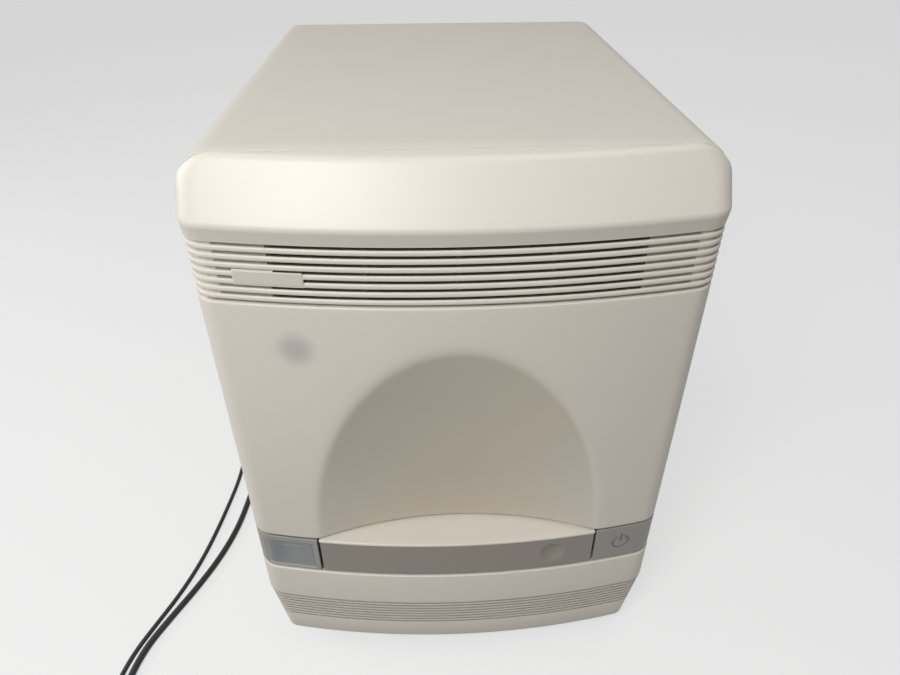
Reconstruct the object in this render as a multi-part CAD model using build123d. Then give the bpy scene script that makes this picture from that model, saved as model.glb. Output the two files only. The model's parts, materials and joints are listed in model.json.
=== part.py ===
from build123d import *
import math
import os

os.makedirs("parts", exist_ok=True)

# A bench-top real-time PCR instrument: a drawer for a 96-well plate, a heated lid over
# a thermal block, lamp, filter wheels and camera above it, in a moulded and sheet case.
# Millimetres. X is right seen from the front, Y is back, Z is up.
# The origin is the middle of the footprint, on the bench.

# Case
front_width = 350
cover_step = 5
case_depth = 450
case_height = 490
foot_height = 18
wall = 3
sheet = 2
seat = 0.3
front_radius = 804
face_setback = 3.5
corner_radius = 20
top_edge_radius = 18
rear_edge_radius = 11
seam_depth = 40
seam_gap = 0.4

# Forehead and vent band
brow_drop = 37.7
brow_chamfer = 10.3
brow_top_depth = 21
brow_top_drop = 3
brow_edge_radius = 5
slot_drop = 2.4
slot_pitch = 5.87
slot_count = 7
slot_height = 2.3
slot_inset = 57
slot_web = 3
blind_groove = 1.4
pad_inset = 32
pad_length = 46
pad_height = 10
pad_drop = 29.4

# Access door
door_gap = 2.3
door_sill = 2
door_rear_right = 1
door_rear_left = 5
pivot_inset = 9
pivot_depth = 13
pivot_diameter = 5
pin_clearance = 0.05
scoop_foot_radius = 314
scoop_depth = 31.3
scoop_headroom = 33.56

# Drawer row
row_height = 39.9
row_line = 1
row_end_width = 57.7
row_gap = 1.7
drawer_back = 33.5
drawer_travel = 175
dimple_inset = 35.7
dimple_rise = 20.1
dimple_diameter = 22
dimple_depth = 2.2
window_end = 12
window_side = 6.2
window_sill = 3.5
window_head = 6.8
lens_setback = 0.8
board_depth = 11
button_travel = 1.5
key_pin_diameter = 4
key_pin_rise = 8.1
key_pin_inset = 12
symbol_inset = 32.2
symbol_rise = 20.5
symbol_radius = 8.2
symbol_line = 2
symbol_cut = 0.8

# Skirt
skirt_top = 122.9
skirt_kink = 85
skirt_low = 17.8
skirt_proud = 1
skirt_taper = 12
rib_pitch = 5
rib_count = 8
rib_groove = 1.4
rib_cut = 1.3

# Thermal block, drawer slides and heated lid
block_setback = 90
block_x_size = 118
block_y_size = 82
block_height = 24
well_pitch = 9
well_columns = 12
well_rows = 8
well_mouth = 6
well_foot = 3.4
well_depth = 15
deck_drop = 28
tile_size = 38
tile_height = 4
sink_base = 8
sink_x_size = 140
sink_y_size = 104
fin_height = 42
fin_count = 20
fin_thickness = 1.5
pocket_x = 128.4
pocket_y = 86.2
carriage_drop = 21.8
carriage_thickness = 6
carriage_half_width = 92
carriage_reach = 55
runner_width = 6
runner_height = 10
slide_overlap = 65
guide_setback = 5
guide_length = 200
guide_wall = 2
slide_gap = 0.3
lid_plate_gap = 2
lid_half_x = 62
lid_plate = 14
lid_travel = 14
carrier_thickness = 6
post_diameter = 10
post_x = 122
post_spread = 32
screw_diameter = 8
screw_reach = 75
screw_tail = 6

# Optics
optics_rise = 52
cube_half_x = 42
cube_half_y = 48
cube_drop = 106
cube_height = 84
wheel_radius = 47
wheel_pitch_radius = 36
wheel_thickness = 4
filter_diameter = 18
filter_count = 5
motor_size = 28
motor_length = 30
shaft_diameter = 5
camera_size = 40
camera_height = 46
camera_lens_diameter = 30
lamp_reach = 18
lamp_half_x = 20.5
lamp_half_z = 24

# Electrical bay
fan_depth = 25
block_fan_size = 80
block_fan_reach = 57
exhaust_fan_size = 120
exhaust_x = 60
exhaust_drop = 160
inlet_inset = 60
inlet_z = 58
board_left = -32
board_z = 30
board_length = 141
supply_length = 106
relief_reach = 50.3
data_relief_reach = 40.3

# Cords lying on the bench
mains_diameter = 6.5
data_diameter = 4.5
mains_coil_radius = 36
data_coil_radius = 24.75
coil_lanes = 3

front = -case_depth / 2
rear = case_depth / 2
face = front + face_setback
seam = front + seam_depth
half_front = front_width / 2
half_cover = half_front - cover_step
brow_height = case_height - brow_drop
brow_foot_height = brow_height - brow_chamfer
brow_top_height = case_height - brow_top_drop
slot_top = brow_foot_height - slot_drop
slot_bottom = slot_top - slot_count * slot_pitch
slot_reach = half_front - slot_inset
pad_left = -half_front + pad_inset
pad_right = pad_left + pad_length
pad_high = brow_foot_height - pad_drop + pad_height
pad_low = pad_high - pad_height
bezel_low = slot_bottom + slot_height / 2
row_low = skirt_top + row_line
row_high = row_low + row_height
door_low = row_high + door_sill
door_high = bezel_low - door_gap
catch_z = (door_low + door_high) / 2
scoop_height = door_high - scoop_headroom - row_high
drawer_half_width = half_front - row_end_width
key_left = drawer_half_width + row_gap
dimple_x = drawer_half_width - dimple_inset
dimple_z = row_low + dimple_rise
window_left = -half_front + window_end
window_right = -drawer_half_width - window_side
window_low = row_low + window_sill
window_high = row_high - window_head
symbol_x = half_front - symbol_inset
symbol_z = row_low + symbol_rise
pivot_x = -half_front + pivot_inset
pivot_y = seam - pivot_depth
frame_front = seam + seat
frame_rear = frame_front + sheet
cover_front = seam + seam_gap
cover_low = foot_height + 3
inner_half = half_cover - wall
panel_rear = rear - wall - seat
panel_front = panel_rear - sheet
pan_rear = panel_front - seat
pan_half = inner_half - seat
floor_top = foot_height + sheet
deck_half = pan_half - 7
block_y = seam + block_setback
carriage_low = row_high - carriage_drop
carriage_top = carriage_low + carriage_thickness
carriage_rear = block_y + carriage_reach
guide_front = seam + guide_setback
guide_rear = guide_front + guide_length
runner_rear = guide_front + drawer_travel + slide_overlap
deck_top = carriage_low - deck_drop
deck_rear = guide_rear + 50
block_low = deck_top - sheet + tile_height
block_top = block_low + block_height
lid_low = carriage_top + lid_plate_gap + lid_travel
lid_top = lid_low + lid_plate
screw_y = block_y + screw_reach
screw_foot = lid_low - screw_tail
optics_top = lid_low + optics_rise
cube_high = case_height - cube_drop
cube_low = cube_high - cube_height
beam_z = (cube_low + cube_high) / 2
lamp_front = seam - lamp_reach
block_fan_y = block_y + block_fan_reach
exhaust_z = case_height - exhaust_drop
inlet_x = -half_cover + inlet_inset
board_right = deck_half - 9.7
port_x = board_left + 17
board_top = board_z + 1.6


def block(x, y, z):
    """A box between two limits along each axis."""
    size = [high - low for low, high in (x, y, z)]
    middle = [(low + high) / 2 for low, high in (x, y, z)]
    return Pos(*middle) * Box(*size)


def rounded(x, y, z, radius, axis):
    """A box whose edges along one axis are rounded."""
    body = block(x, y, z)
    return fillet(body.edges().filter_by(axis), radius)


def pole(centre, radius, low, high, axis=Axis.Z):
    """A round bar between two heights along an axis. centre holds the two other coordinates."""
    length = high - low
    middle = (low + high) / 2
    if axis == Axis.Z:
        return Pos(centre[0], centre[1], middle) * Cylinder(radius, length)
    if axis == Axis.Y:
        return Pos(centre[0], middle, centre[1]) * Rot(90, 0, 0) * Cylinder(radius, length)
    return Pos(middle, centre[0], centre[1]) * Rot(0, 90, 0) * Cylinder(radius, length)


def fused(first, others):
    """One solid of a body and what stands on it."""
    body = first
    for other in others:
        body = body + other
    return body


def cut(body, tools):
    """A body less each of the tools."""
    for tool in tools:
        body = body - tool
    return body


def group(solids):
    """Separate solids of one node."""
    return Compound(children=list(solids))


def save(shape, name):
    """Writes one sub-part."""
    export_step(shape, f"parts/{name}.step")


def front_plan(front_line, half_width, corner, rear_line, radius=front_radius):
    """Plan outline of a front moulding: a shallow arc with rounded corners, straight sides and back."""
    disc = Pos(0, front_line + radius) * Circle(radius)
    margin = 10
    length = 90
    strip = Pos(0, front_line - margin + length / 2) * Rectangle(2 * half_width, length)
    outline = disc & strip
    outline = fillet(outline.vertices().group_by(Axis.Y)[0], corner)
    depth = rear_line - front_line + margin
    return outline & Pos(0, rear_line - depth / 2) * Rectangle(2 * half_width + margin, depth)


def upright(outline, low, high):
    """A plan outline raised from one height to another."""
    return Pos(0, 0, low) * extrude(outline, high - low)


def moulded(inset, low, high, rear_line, front_line=face):
    """The front moulding's body, its front, sides and corners set in by inset."""
    return upright(
        front_plan(front_line + inset, half_front - inset, corner_radius - inset, rear_line),
        low,
        high,
    )


def tunnel(half_width, low, high, radius, start, end):
    """A section with rounded top corners, carried from front to back."""
    middle = (low + high) / 2
    section = Pos(0, middle) * Rectangle(2 * half_width, high - low)
    section = fillet(section.vertices().group_by(Axis.Y)[-1], radius)
    return extrude(Plane.XZ.offset(-end) * section, end - start)


# Case


def bezel_form(inset):
    """The forehead and vent band: one side profile turned about the front arc's own axis."""
    low = bezel_low + inset
    high = case_height - inset
    rear_line = seam - inset
    profile = Polyline(
        (rear_line, low),
        (face + inset, low),
        (face + inset, brow_foot_height),
        (front + inset, brow_height),
        (front + brow_top_depth + inset, brow_top_height - inset),
        (front + brow_top_depth + inset + 4, high),
        (rear_line, high),
        close=True,
    )
    section = make_face(profile)
    brow = [v for v in section.vertices() if v.X < face + inset - 1]
    section = fillet(brow, brow_edge_radius)
    ring = revolve(Plane.YZ * section, Axis((0, face + front_radius, 0), (0, 0, 1)))
    plan = front_plan(front + inset, half_front - inset, corner_radius - inset, rear_line)
    body = ring & upright(plan, low, high)
    arch = tunnel(
        half_front - inset, low, high, top_edge_radius - inset, front - 5, rear_line
    )
    return body & arch


def vent_slots():
    """Long slots through the band between upright webs, as one group of cutters."""
    span = 2 * slot_reach / 4
    tools = []
    for row in range(slot_count):
        z = slot_top - row * slot_pitch
        for column in range(4):
            left = -slot_reach + column * span + slot_web / 2
            right = left + span - slot_web
            if pad_low < z < pad_high and left < pad_right:
                left = max(left, pad_right + 1)
            tools.append(
                block(
                    (left, right),
                    (front, seam - wall - 6),
                    (z - slot_height / 2, z + slot_height / 2),
                )
            )
    return tools


def side_grooves():
    """Blind grooves that carry each slot's line round the corners to the sides."""
    core = moulded(blind_groove, bezel_low - 1, brow_foot_height, seam + 1)
    tools = []
    for row in range(slot_count):
        z = slot_top - row * slot_pitch
        heights = (z - slot_height / 2, z + slot_height / 2)
        beside_pad = pad_low < z < pad_high
        left_end = pad_left - 1 if beside_pad else -slot_reach - slot_web / 2
        left = block((-half_front - 1, left_end), (front, seam - 6), heights)
        right = block((slot_reach + slot_web / 2, half_front + 1), (front, seam - 6), heights)
        tools.append(left - core)
        tools.append(right - core)
    return tools


def make_front_bezel():
    body = bezel_form(0) - bezel_form(wall)
    opening = block(
        (-half_front + 12, half_front - 12),
        (seam - wall - 1, seam + 1),
        (bezel_low + wall, case_height - 12),
    )
    pin_boss = pole((pivot_x, pivot_y), pivot_diameter / 2 + 2.5, bezel_low, bezel_low + 8)
    body = body - opening + (pin_boss & bezel_form(0))
    pin_hole = pole(
        (pivot_x, pivot_y), pivot_diameter / 2 + pin_clearance, bezel_low - 1, bezel_low + 6.3
    )
    return cut(body, vent_slots() + side_grooves() + [pin_hole])


def make_intake_filter():
    """A flat foam pad behind the slots, in front of the frame's air opening."""
    return rounded(
        (-slot_reach - 1, slot_reach + 1),
        (frame_front - seat - 9, frame_front - seat),
        (bezel_low + wall + 1, brow_foot_height + 4),
        3,
        Axis.Y,
    )


def make_top_cover():
    """The wrap-round cover: a shell open to the front and below, its rear edge turned in."""
    outer = tunnel(half_cover, cover_low, case_height, top_edge_radius, cover_front, rear)
    back = outer.faces().sort_by(Axis.Y)[-1]
    kept = [e for e in back.edges() if e.center().Z > cover_low + 1]
    outer = fillet(kept, rear_edge_radius)
    inner = tunnel(
        inner_half,
        cover_low - 1,
        case_height - wall,
        top_edge_radius - wall,
        cover_front - 1,
        rear - wall,
    )
    back = inner.faces().sort_by(Axis.Y)[-1]
    kept = [e for e in back.edges() if e.center().Z > cover_low]
    inner = fillet(kept, rear_edge_radius - wall)
    opening = tunnel(
        inner_half - 19, cover_low - 1, case_height - wall - 19, 6, rear - 2 * wall, rear + 1
    )
    body = outer - inner - opening
    holes = [
        pole((x, z), 1.7, rear - 2 * wall, rear + 1, Axis.Y)
        + pole((x, z), 3.8, rear - 1.6, rear + 1, Axis.Y)
        for x, z in rear_screw_places()
    ]
    return cut(body, holes)


def rear_screw_places():
    """The rear panel's screws, in the cover's turned-in edge."""
    x = inner_half - 14
    return [(side * x, z) for side in (-1, 1) for z in (72, case_height / 2 + 5, case_height - 50)]


def make_rear_screws():
    """Flush button-head screws."""
    screws = []
    for x, z in rear_screw_places():
        head = pole((x, z), 3.5, rear - 1.5, rear - 0.1, Axis.Y)
        shank = pole((x, z), 1.5, panel_front - 2, rear - 1.5, Axis.Y)
        socket = pole((x, z), 1.1, rear - 1, rear, Axis.Y)
        screws.append(head + shank - socket)
    return group(screws)


def make_rear_panel():
    """Sheet panel with a punched fan grille and cut-outs for the inlet, the port and cooling."""
    half = inner_half - 8.5
    body = block((-half, half), (panel_front, panel_rear), (cover_low + 1, case_height - wall - 8.5))
    body = fillet(body.edges().filter_by(Axis.Y).group_by(Axis.Z)[-1], 5)
    tools = [
        pole((x, z), 1.55, panel_front - 1, panel_rear + 1, Axis.Y)
        for x, z in rear_screw_places()
    ]
    tools.append(
        block(
            (inlet_x - 14, inlet_x + 14),
            (panel_front - 1, panel_rear + 1),
            (inlet_z - 10, inlet_z + 10),
        )
    )
    tools.append(
        block(
            (port_x - 6.5, port_x + 6.5),
            (panel_front - 1, panel_rear + 1),
            (board_top - 0.6, board_top + 12.9),
        )
    )
    through = (panel_front - 2, panel_rear + 2)
    bars = [
        block((exhaust_x - half_x, exhaust_x + half_x), through, (exhaust_z - half_z, exhaust_z + half_z))
        for half_x, half_z in ((60, 2), (2, 60))
    ]
    for ring in range(4):
        inner = 17 + ring * 10
        annulus = pole((exhaust_x, exhaust_z), inner + 7, panel_front - 1, panel_rear + 1, Axis.Y)
        core = pole((exhaust_x, exhaust_z), inner, *through, Axis.Y)
        tools.append(cut(annulus - core, bars))
    for k in range(7):
        x = inlet_x - 30 + 10 * k
        tools.append(
            rounded((x - 2, x + 2), (panel_front - 1, panel_rear + 1), (92, 128), 1.9, Axis.Y)
        )
    return cut(body, tools)


def make_base_pan():
    """A folded pan that carries the chassis, low in front behind the skirt."""
    outer = rounded((-pan_half, pan_half), (frame_rear + seat, pan_rear), (foot_height, 60), 4, Axis.Z)
    inner = rounded(
        (-pan_half + sheet, pan_half - sheet),
        (frame_rear + seat + sheet, pan_rear - sheet),
        (floor_top, 61),
        2,
        Axis.Z,
    )
    lowered = block((-pan_half + 12, pan_half - 12), (frame_rear, frame_rear + 6), (34, 61))
    port = block((inlet_x - 30, port_x + 30), (pan_rear - 6, pan_rear + 1), (30, 61))
    return cut(outer, [inner, lowered, port])


def make_feet():
    """Four soft feet, waisted under a flange."""
    profile = Polyline(
        (0, 0), (14, 0), (15.5, 2), (14, 12), (17, 13.5), (17, foot_height), (0, foot_height), close=True
    )
    foot = revolve(Plane.XZ * make_face(profile), Axis.Z)
    return group(
        Pos(x, y, 0) * foot
        for x in (-half_cover + 30, half_cover - 30)
        for y in (seam + 27, rear - 35)
    )


def make_front_skirt():
    """The skirt under the drawer: upright above, then leaning in, with fine grooves round it."""
    depth_line = face - skirt_proud
    upper = moulded(0, skirt_kink, skirt_top, seam, depth_line)
    upper = fillet(upper.faces().sort_by(Axis.Z)[-1].edges().sort_by(Axis.Y)[0], 0.9)

    def lean(inset, low, high, rear_line):
        foot_inset = skirt_taper + inset
        far = seam + corner_radius
        head = front_plan(depth_line + inset, half_front - inset, corner_radius - inset, far)
        foot = front_plan(
            depth_line + foot_inset, half_front - foot_inset, corner_radius - inset, far
        )
        body = loft([Pos(0, 0, high) * head, Pos(0, 0, low) * foot], ruled=True)
        return body & block((-half_front, half_front), (front, rear_line), (0, skirt_top))

    lower = lean(0, skirt_low, skirt_kink, seam)
    core = lean(rib_cut, skirt_low, skirt_kink, seam + 1)
    grooves = []
    for k in range(rib_count):
        z = skirt_kink - 0.8 - k * rib_pitch
        slab = block(
            (-half_front - 2, half_front + 2), (front - 2, seam - 4), (z - rib_groove, z)
        )
        grooves.append(slab - core)
    body = upper + cut(lower, grooves)
    hollow_upper = moulded(wall, skirt_kink, skirt_top - wall, seam - wall, depth_line)
    hollow_lower = lean(wall, skirt_low, skirt_kink, seam - wall)
    opening = block(
        (-half_front + 14, half_front - 14), (seam - wall - 1, seam + 1), (skirt_low + 12, skirt_top - 14)
    )
    return cut(body, [hollow_upper, hollow_lower, opening])


def make_front_frame():
    """A sheet bulkhead behind the mouldings, open for the drawer, the lamp and the intake air."""
    high = case_height - wall - 2 * seat
    body = block((-pan_half, pan_half), (frame_front, frame_rear), (floor_top + seat, high))
    top_corners = body.edges().filter_by(Axis.Y).group_by(Axis.Z)[-1]
    body = fillet(top_corners, top_edge_radius - wall)
    y = (frame_front - 1, frame_rear + 1)
    half_way = carriage_half_width + 20
    drawer_way = rounded((-half_way, half_way), y, (carriage_low - 24, carriage_top + 10), 3, Axis.Y)
    lamp_way = rounded((-62, 62), y, (beam_z - 42, beam_z + 46), 5, Axis.Y)
    intakes = [
        rounded((x - 20, x + 20), y, (low, low + 34), 4, Axis.Y)
        for x in (-96, -48, 0, 48, 96)
        for low in (40, bezel_low + 6.34)
    ]
    return cut(body, [drawer_way, lamp_way] + intakes)


# Access door


def scoop_form(extra):
    """The finger recess: a barrel turned about an upright axis in front of the face."""
    axis_y = face + scoop_depth - scoop_foot_radius
    rise = scoop_height**2 / (2 * scoop_depth)
    foot_z = row_high
    low = foot_z - 18
    high = foot_z + scoop_height + 30

    def reach(z):
        return scoop_foot_radius - (z - foot_z) ** 2 / (2 * rise) + extra

    side = Spline(
        (reach(low), low),
        (reach(foot_z), foot_z),
        (reach(foot_z + scoop_height / 2), foot_z + scoop_height / 2),
        (reach(high), high),
    )
    edge = Polyline((reach(high), high), (0, high), (0, low), (reach(low), low))
    barrel = revolve(Plane.YZ * make_face(side + edge), Axis.Z)
    return Pos(0, axis_y, 0) * barrel


def make_access_door():
    """The large front door with the finger recess over the drawer and corner pivots on its left."""
    left_end = seam - door_rear_left
    right_end = seam - door_rear_right
    outer = moulded(0, door_low, door_high, right_end)
    inner = moulded(wall, door_low + wall, door_high - wall, right_end + 1)
    beyond = (door_low - 1, door_high + 1)
    short = block((-half_front - 1, -half_front + 40), (left_end, right_end + 1), beyond)
    ends = moulded(wall + 13, *beyond, right_end + 1)
    shell = outer - inner - ends - short
    lining = (scoop_form(wall) - scoop_form(0)) & outer
    corners = [
        pole((pivot_x, pivot_y), pivot_diameter / 2 + 2.5, low, low + 7)
        for low in (door_low, door_high - 7)
    ]
    tongue = block(
        (half_front - 25, half_front - 13), (seam - 22, seam - 7), (catch_z - 10, catch_z + 10)
    )
    body = fused(shell + lining, [corner & outer for corner in corners])
    body = body - scoop_form(0) + (tongue & outer)
    holes = [
        pole((pivot_x, pivot_y), pivot_diameter / 2 + pin_clearance, low, high)
        for low, high in ((door_low - 1, door_low + 7.5), (door_high - 7.5, door_high + 1))
    ]
    return cut(body, holes)


def make_door_pins():
    """The two pivot pins, one above and one below the door's left corner."""
    upper = pole((pivot_x, pivot_y), pivot_diameter / 2, door_high - 6, bezel_low + 6)
    lower = pole((pivot_x, pivot_y), pivot_diameter / 2, row_high - 6, door_low + 6)
    return group([upper, lower])


def make_door_magnet():
    """The magnetic catch on the frame, facing the door's tongue."""
    return rounded(
        (half_front - 27, half_front - 11),
        (seam - 7 + seat, frame_front - seat),
        (catch_z - 16, catch_z + 16),
        2,
        Axis.Y,
    )


# Drawer row


def make_status_panel():
    """The left end of the drawer row, with an opening for the status lens."""
    body = moulded(0, row_low, row_high, seam)
    body = body & block((-half_front - 1, -key_left), (front, seam + 1), (0, door_low))
    hollow = moulded(wall, row_low + wall, row_high - wall, seam + 1)
    hollow = hollow & block((-half_front, -key_left - wall), (front, seam + 1), (0, door_low))
    boss = pole((pivot_x, pivot_y), pivot_diameter / 2 + 2.5, row_high - 7, row_high)
    window = rounded(
        (window_left, window_right), (front, seam - 10), (window_low, window_high), 2, Axis.Y
    )
    body = body - hollow + (boss & moulded(0, row_low, row_high, seam))
    hole = pole(
        (pivot_x, pivot_y), pivot_diameter / 2 + pin_clearance, row_high - 6.3, row_high + 1
    )
    return cut(body, [window, hole])


def make_status_lens():
    """The translucent window, flush in its opening with a flange behind the wall."""
    gap = 0.3
    plate = moulded(lens_setback, row_low, row_high, seam) - moulded(wall + 0.2, 0, door_low, seam + 1)
    plate = plate & rounded(
        (window_left + gap, window_right - gap),
        (front, seam - 10),
        (window_low + gap, window_high - gap),
        1.8,
        Axis.Y,
    )
    flange = moulded(wall + 0.2, row_low, row_high, seam) - moulded(wall + 2, 0, door_low, seam + 1)
    flange = flange & rounded(
        (window_left - 2, window_right + 1.2),
        (front, seam - 8),
        (window_low, row_high - 7 - gap),
        1,
        Axis.Y,
    )
    return plate + flange


def make_status_board():
    """The indicator board behind the lens, on legs to the frame."""
    near = seam - board_depth
    far = near + 1.6
    middle = (window_left + window_right) / 2
    lamp_z = window_high - 9.5
    board = rounded(
        (window_left + 3, window_right - 2.5), (near, far), (window_low + 1.6, window_high - 1), 1, Axis.Y
    )
    lamps = [
        block((x - 2.5, x + 2.5), (near - 2, near), (lamp_z - 1.5, lamp_z + 1.5))
        for x in (middle - 9, middle, middle + 9)
    ]
    legs = [
        pole((x, window_low + 5.6), 2.5, far, frame_front - seat, Axis.Y)
        for x in (window_left + 7, window_right - 6.5)
    ]
    return fused(board, lamps + legs)


def power_symbol():
    """A broken ring with a stem, cut a little way into the button's curved face."""
    turn = math.degrees(math.asin(symbol_x / front_radius))
    ring = Circle(symbol_radius) - Circle(symbol_radius - symbol_line)
    gap = Pos(0, symbol_radius) * Rectangle(3.2 * symbol_line, 1.6 * symbol_radius)
    stem = Pos(0, symbol_radius * 0.85) * RectangleRounded(symbol_line, symbol_radius * 1.05, 0.9)
    mark = ring - gap + stem
    prism = extrude(Plane.XZ * mark, 30, both=True)
    return Pos(symbol_x, face + 12, symbol_z) * Rot(0, 0, turn) * prism


def key_pin_places():
    """The two pins on which the power key slides."""
    z = row_low + key_pin_rise
    return [(key_left + key_pin_inset, z), (half_front - key_pin_inset - 6, z)]


def make_power_button():
    """The right end of the drawer row is one large key with the power mark cut in it."""
    low = row_low + 0.5
    form = moulded(0, low, row_high, seam - 4)
    body = form & block((key_left, half_front + 1), (front, seam), (0, door_low))
    hollow = moulded(wall, low + wall, row_high - wall, seam)
    hollow = hollow & block((key_left + wall, half_front), (front, seam), (0, door_low))
    bore = key_pin_diameter / 2 + 0.1
    sleeves = [pole(place, 4.5, seam - 25, seam - 5, Axis.Y) & form for place in key_pin_places()]
    bores = [pole(place, bore, seam - 21, seam, Axis.Y) for place in key_pin_places()]
    body = fused(body - hollow, sleeves)
    post = rounded(
        (half_front - 35, half_front - 27),
        (face + 14, seam - 9 - button_travel - seat),
        (symbol_z - 1.4, symbol_z + 6.6),
        1.5,
        Axis.Y,
    )
    core = moulded(symbol_cut, 0, door_low, seam + 60)
    return cut(body + post, bores + [power_symbol() - core])


def make_power_switch():
    """The switch and the two pins that the key slides on, on one plate against the frame."""
    far = frame_front - seat
    near = far - 2
    plate = rounded(
        (key_left + 5, half_front - 11), (near, far), (row_low + 3.1, row_high - 3.8), 2, Axis.Y
    )
    pins = [pole(place, key_pin_diameter / 2, seam - 19, near, Axis.Y) for place in key_pin_places()]
    housing = rounded(
        (half_front - 37, half_front - 25), (seam - 9, near), (symbol_z - 3.4, symbol_z + 8.6), 1.5, Axis.Y
    )
    return fused(plate, pins + [housing])


def make_drawer_front():
    """The drawer's fascia: hollow behind, closed on top where it shows under the finger recess."""
    back = face + drawer_back
    slab = block((-drawer_half_width, drawer_half_width), (front, back + 1), (0, door_low))
    body = moulded(0, row_low + 0.3, row_high, back) & slab
    inner = moulded(wall, row_low + 0.3 + wall, row_high - wall, back + 1) & block(
        (-drawer_half_width + wall, drawer_half_width - wall), (front, back + 1), (0, door_low)
    )
    ribs = [block((x - 1, x + 1), (face + 1, back), (row_low + 1, row_high - 1)) for x in (-60, 60)]
    dish_radius = (dimple_diameter**2 / 4 + dimple_depth**2) / (2 * dimple_depth)
    surface_y = face + front_radius - math.sqrt(front_radius**2 - dimple_x**2)
    dish = Pos(dimple_x, surface_y + dimple_depth - dish_radius, dimple_z) * Sphere(dish_radius)
    saucer = Pos(dimple_x, surface_y + dimple_depth, dimple_z) * Rot(90, 0, 0) * Cylinder(14, 4)
    body = fused(body - inner, [(saucer & moulded(0.5, row_low, row_high, back))] + ribs)
    lip = block((-80, 80), (back - 3, back), (carriage_low - 8, carriage_low - seat))
    return body + lip - dish


def make_carriage():
    """The sliding plate holder: a frame with a stepped pocket for a 96-well plate."""
    front_edge = face + drawer_back + seat
    body = rounded(
        (-carriage_half_width, carriage_half_width),
        (front_edge, carriage_rear),
        (carriage_low, carriage_top),
        3,
        Axis.Z,
    )
    pocket = rounded(
        (-pocket_x / 2, pocket_x / 2),
        (block_y - pocket_y / 2, block_y + pocket_y / 2),
        (carriage_low + 2, carriage_top + 1),
        3,
        Axis.Z,
    )
    through = rounded(
        (-block_x_size / 2 - 1, block_x_size / 2 + 1),
        (block_y - block_y_size / 2 - 1, block_y + block_y_size / 2 + 1),
        (carriage_low - 1, carriage_top + 1),
        2,
        Axis.Z,
    )
    thumb = [
        pole((side * pocket_x / 2, block_y), 9, carriage_low + 2, carriage_top + 1)
        for side in (-1, 1)
    ]
    hanger = block((-80, 80), (front_edge, front_edge + 3), (carriage_low - 8, carriage_low))
    peg = block((40, 50), (carriage_rear, carriage_rear + 3.7), (carriage_low, carriage_top))
    return cut(body + hanger + peg, [pocket, through] + thumb)


def make_runners():
    """The two steel bars on the carriage's sides."""
    inner = carriage_half_width + 0.1
    middle = carriage_low + carriage_thickness / 2
    bars = [
        block(
            sorted((side * inner, side * (inner + runner_width))),
            (face + drawer_back + 2, runner_rear),
            (middle - runner_height / 2, middle + runner_height / 2),
        )
        for side in (-1, 1)
    ]
    return group(bars)


def make_guides():
    """Two channel rails on the deck, in which the runners slide."""
    outer_x = carriage_half_width + 0.1 + runner_width + slide_gap
    middle = carriage_low + carriage_thickness / 2
    half = runner_height / 2 + slide_gap
    rails = []
    for side in (-1, 1):
        channel = block(
            (carriage_half_width + 1, outer_x + guide_wall),
            (guide_front, guide_rear),
            (middle - half - guide_wall, middle + half + guide_wall),
        )
        groove = block(
            (carriage_half_width, outer_x),
            (guide_front - 1, guide_rear + 1),
            (middle - half, middle + half),
        )
        leg = block(
            (outer_x - guide_wall, outer_x + guide_wall),
            (guide_front, guide_rear),
            (deck_top, middle - half),
        )
        foot = block(
            (outer_x - guide_wall, outer_x + 12),
            (guide_front, guide_rear),
            (deck_top, deck_top + guide_wall),
        )
        rail = channel - groove + leg + foot
        rails.append(rail if side == 1 else mirror(rail, Plane.YZ))
    return group(rails)


def make_latch():
    """The push latch behind the carriage's peg."""
    body = rounded(
        (37, 53), (carriage_rear + 4, carriage_rear + 24), (deck_top, carriage_top + 4), 2, Axis.Z
    )
    mouth = block(
        (39.5, 50.5), (carriage_rear + 3, carriage_rear + 9), (carriage_low - 1, carriage_top + 1)
    )
    return body - mouth


# Chassis


def make_chassis_sides():
    """Two upright side plates, pierced to lighten them."""
    plates = []
    high = beam_z - 12
    rows = (60, (high + 5) / 2 - 2.5, high - 55)
    for side in (-1, 1):
        x = sorted((side * (deck_half + seat), side * (deck_half + seat + sheet)))
        plate = block(x, (frame_rear + seat + sheet + seat, deck_rear), (floor_top, high))
        windows = [
            pole((deck_rear - 30 - 60 * k, z), 18, x[0] - 1, x[1] + 1, Axis.X)
            for k in range(4)
            for z in rows
        ]
        plates.append(cut(plate, windows))
    return group(plates)


def folded_deck(top, opening):
    """A flat shelf with its sides folded down, and an opening in it."""
    y = (frame_rear + seat + sheet + seat, deck_rear)
    plate = block((-deck_half, deck_half), y, (top - sheet, top))
    flanges = [
        block(sorted((side * deck_half, side * (deck_half - sheet))), y, (top - 14, top))
        for side in (-1, 1)
    ]
    return fused(plate, flanges) - opening


def make_block_deck():
    opening = rounded(
        (-block_x_size / 2 - 3, block_x_size / 2 + 3),
        (block_y - block_y_size / 2 - 3, block_y + block_y_size / 2 + 3),
        (deck_top - 20, deck_top + 1),
        3,
        Axis.Z,
    )
    return folded_deck(deck_top, opening)


def make_optics_deck():
    opening = rounded(
        (-lid_half_x, lid_half_x),
        (block_y - 46, block_y + 46),
        (optics_top - 20, optics_top + 1),
        3,
        Axis.Z,
    )
    screw_hole = pole((0, screw_y), screw_diameter / 2 + 0.6, optics_top - 20, optics_top + 1)
    return folded_deck(optics_top, opening) - screw_hole


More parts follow.
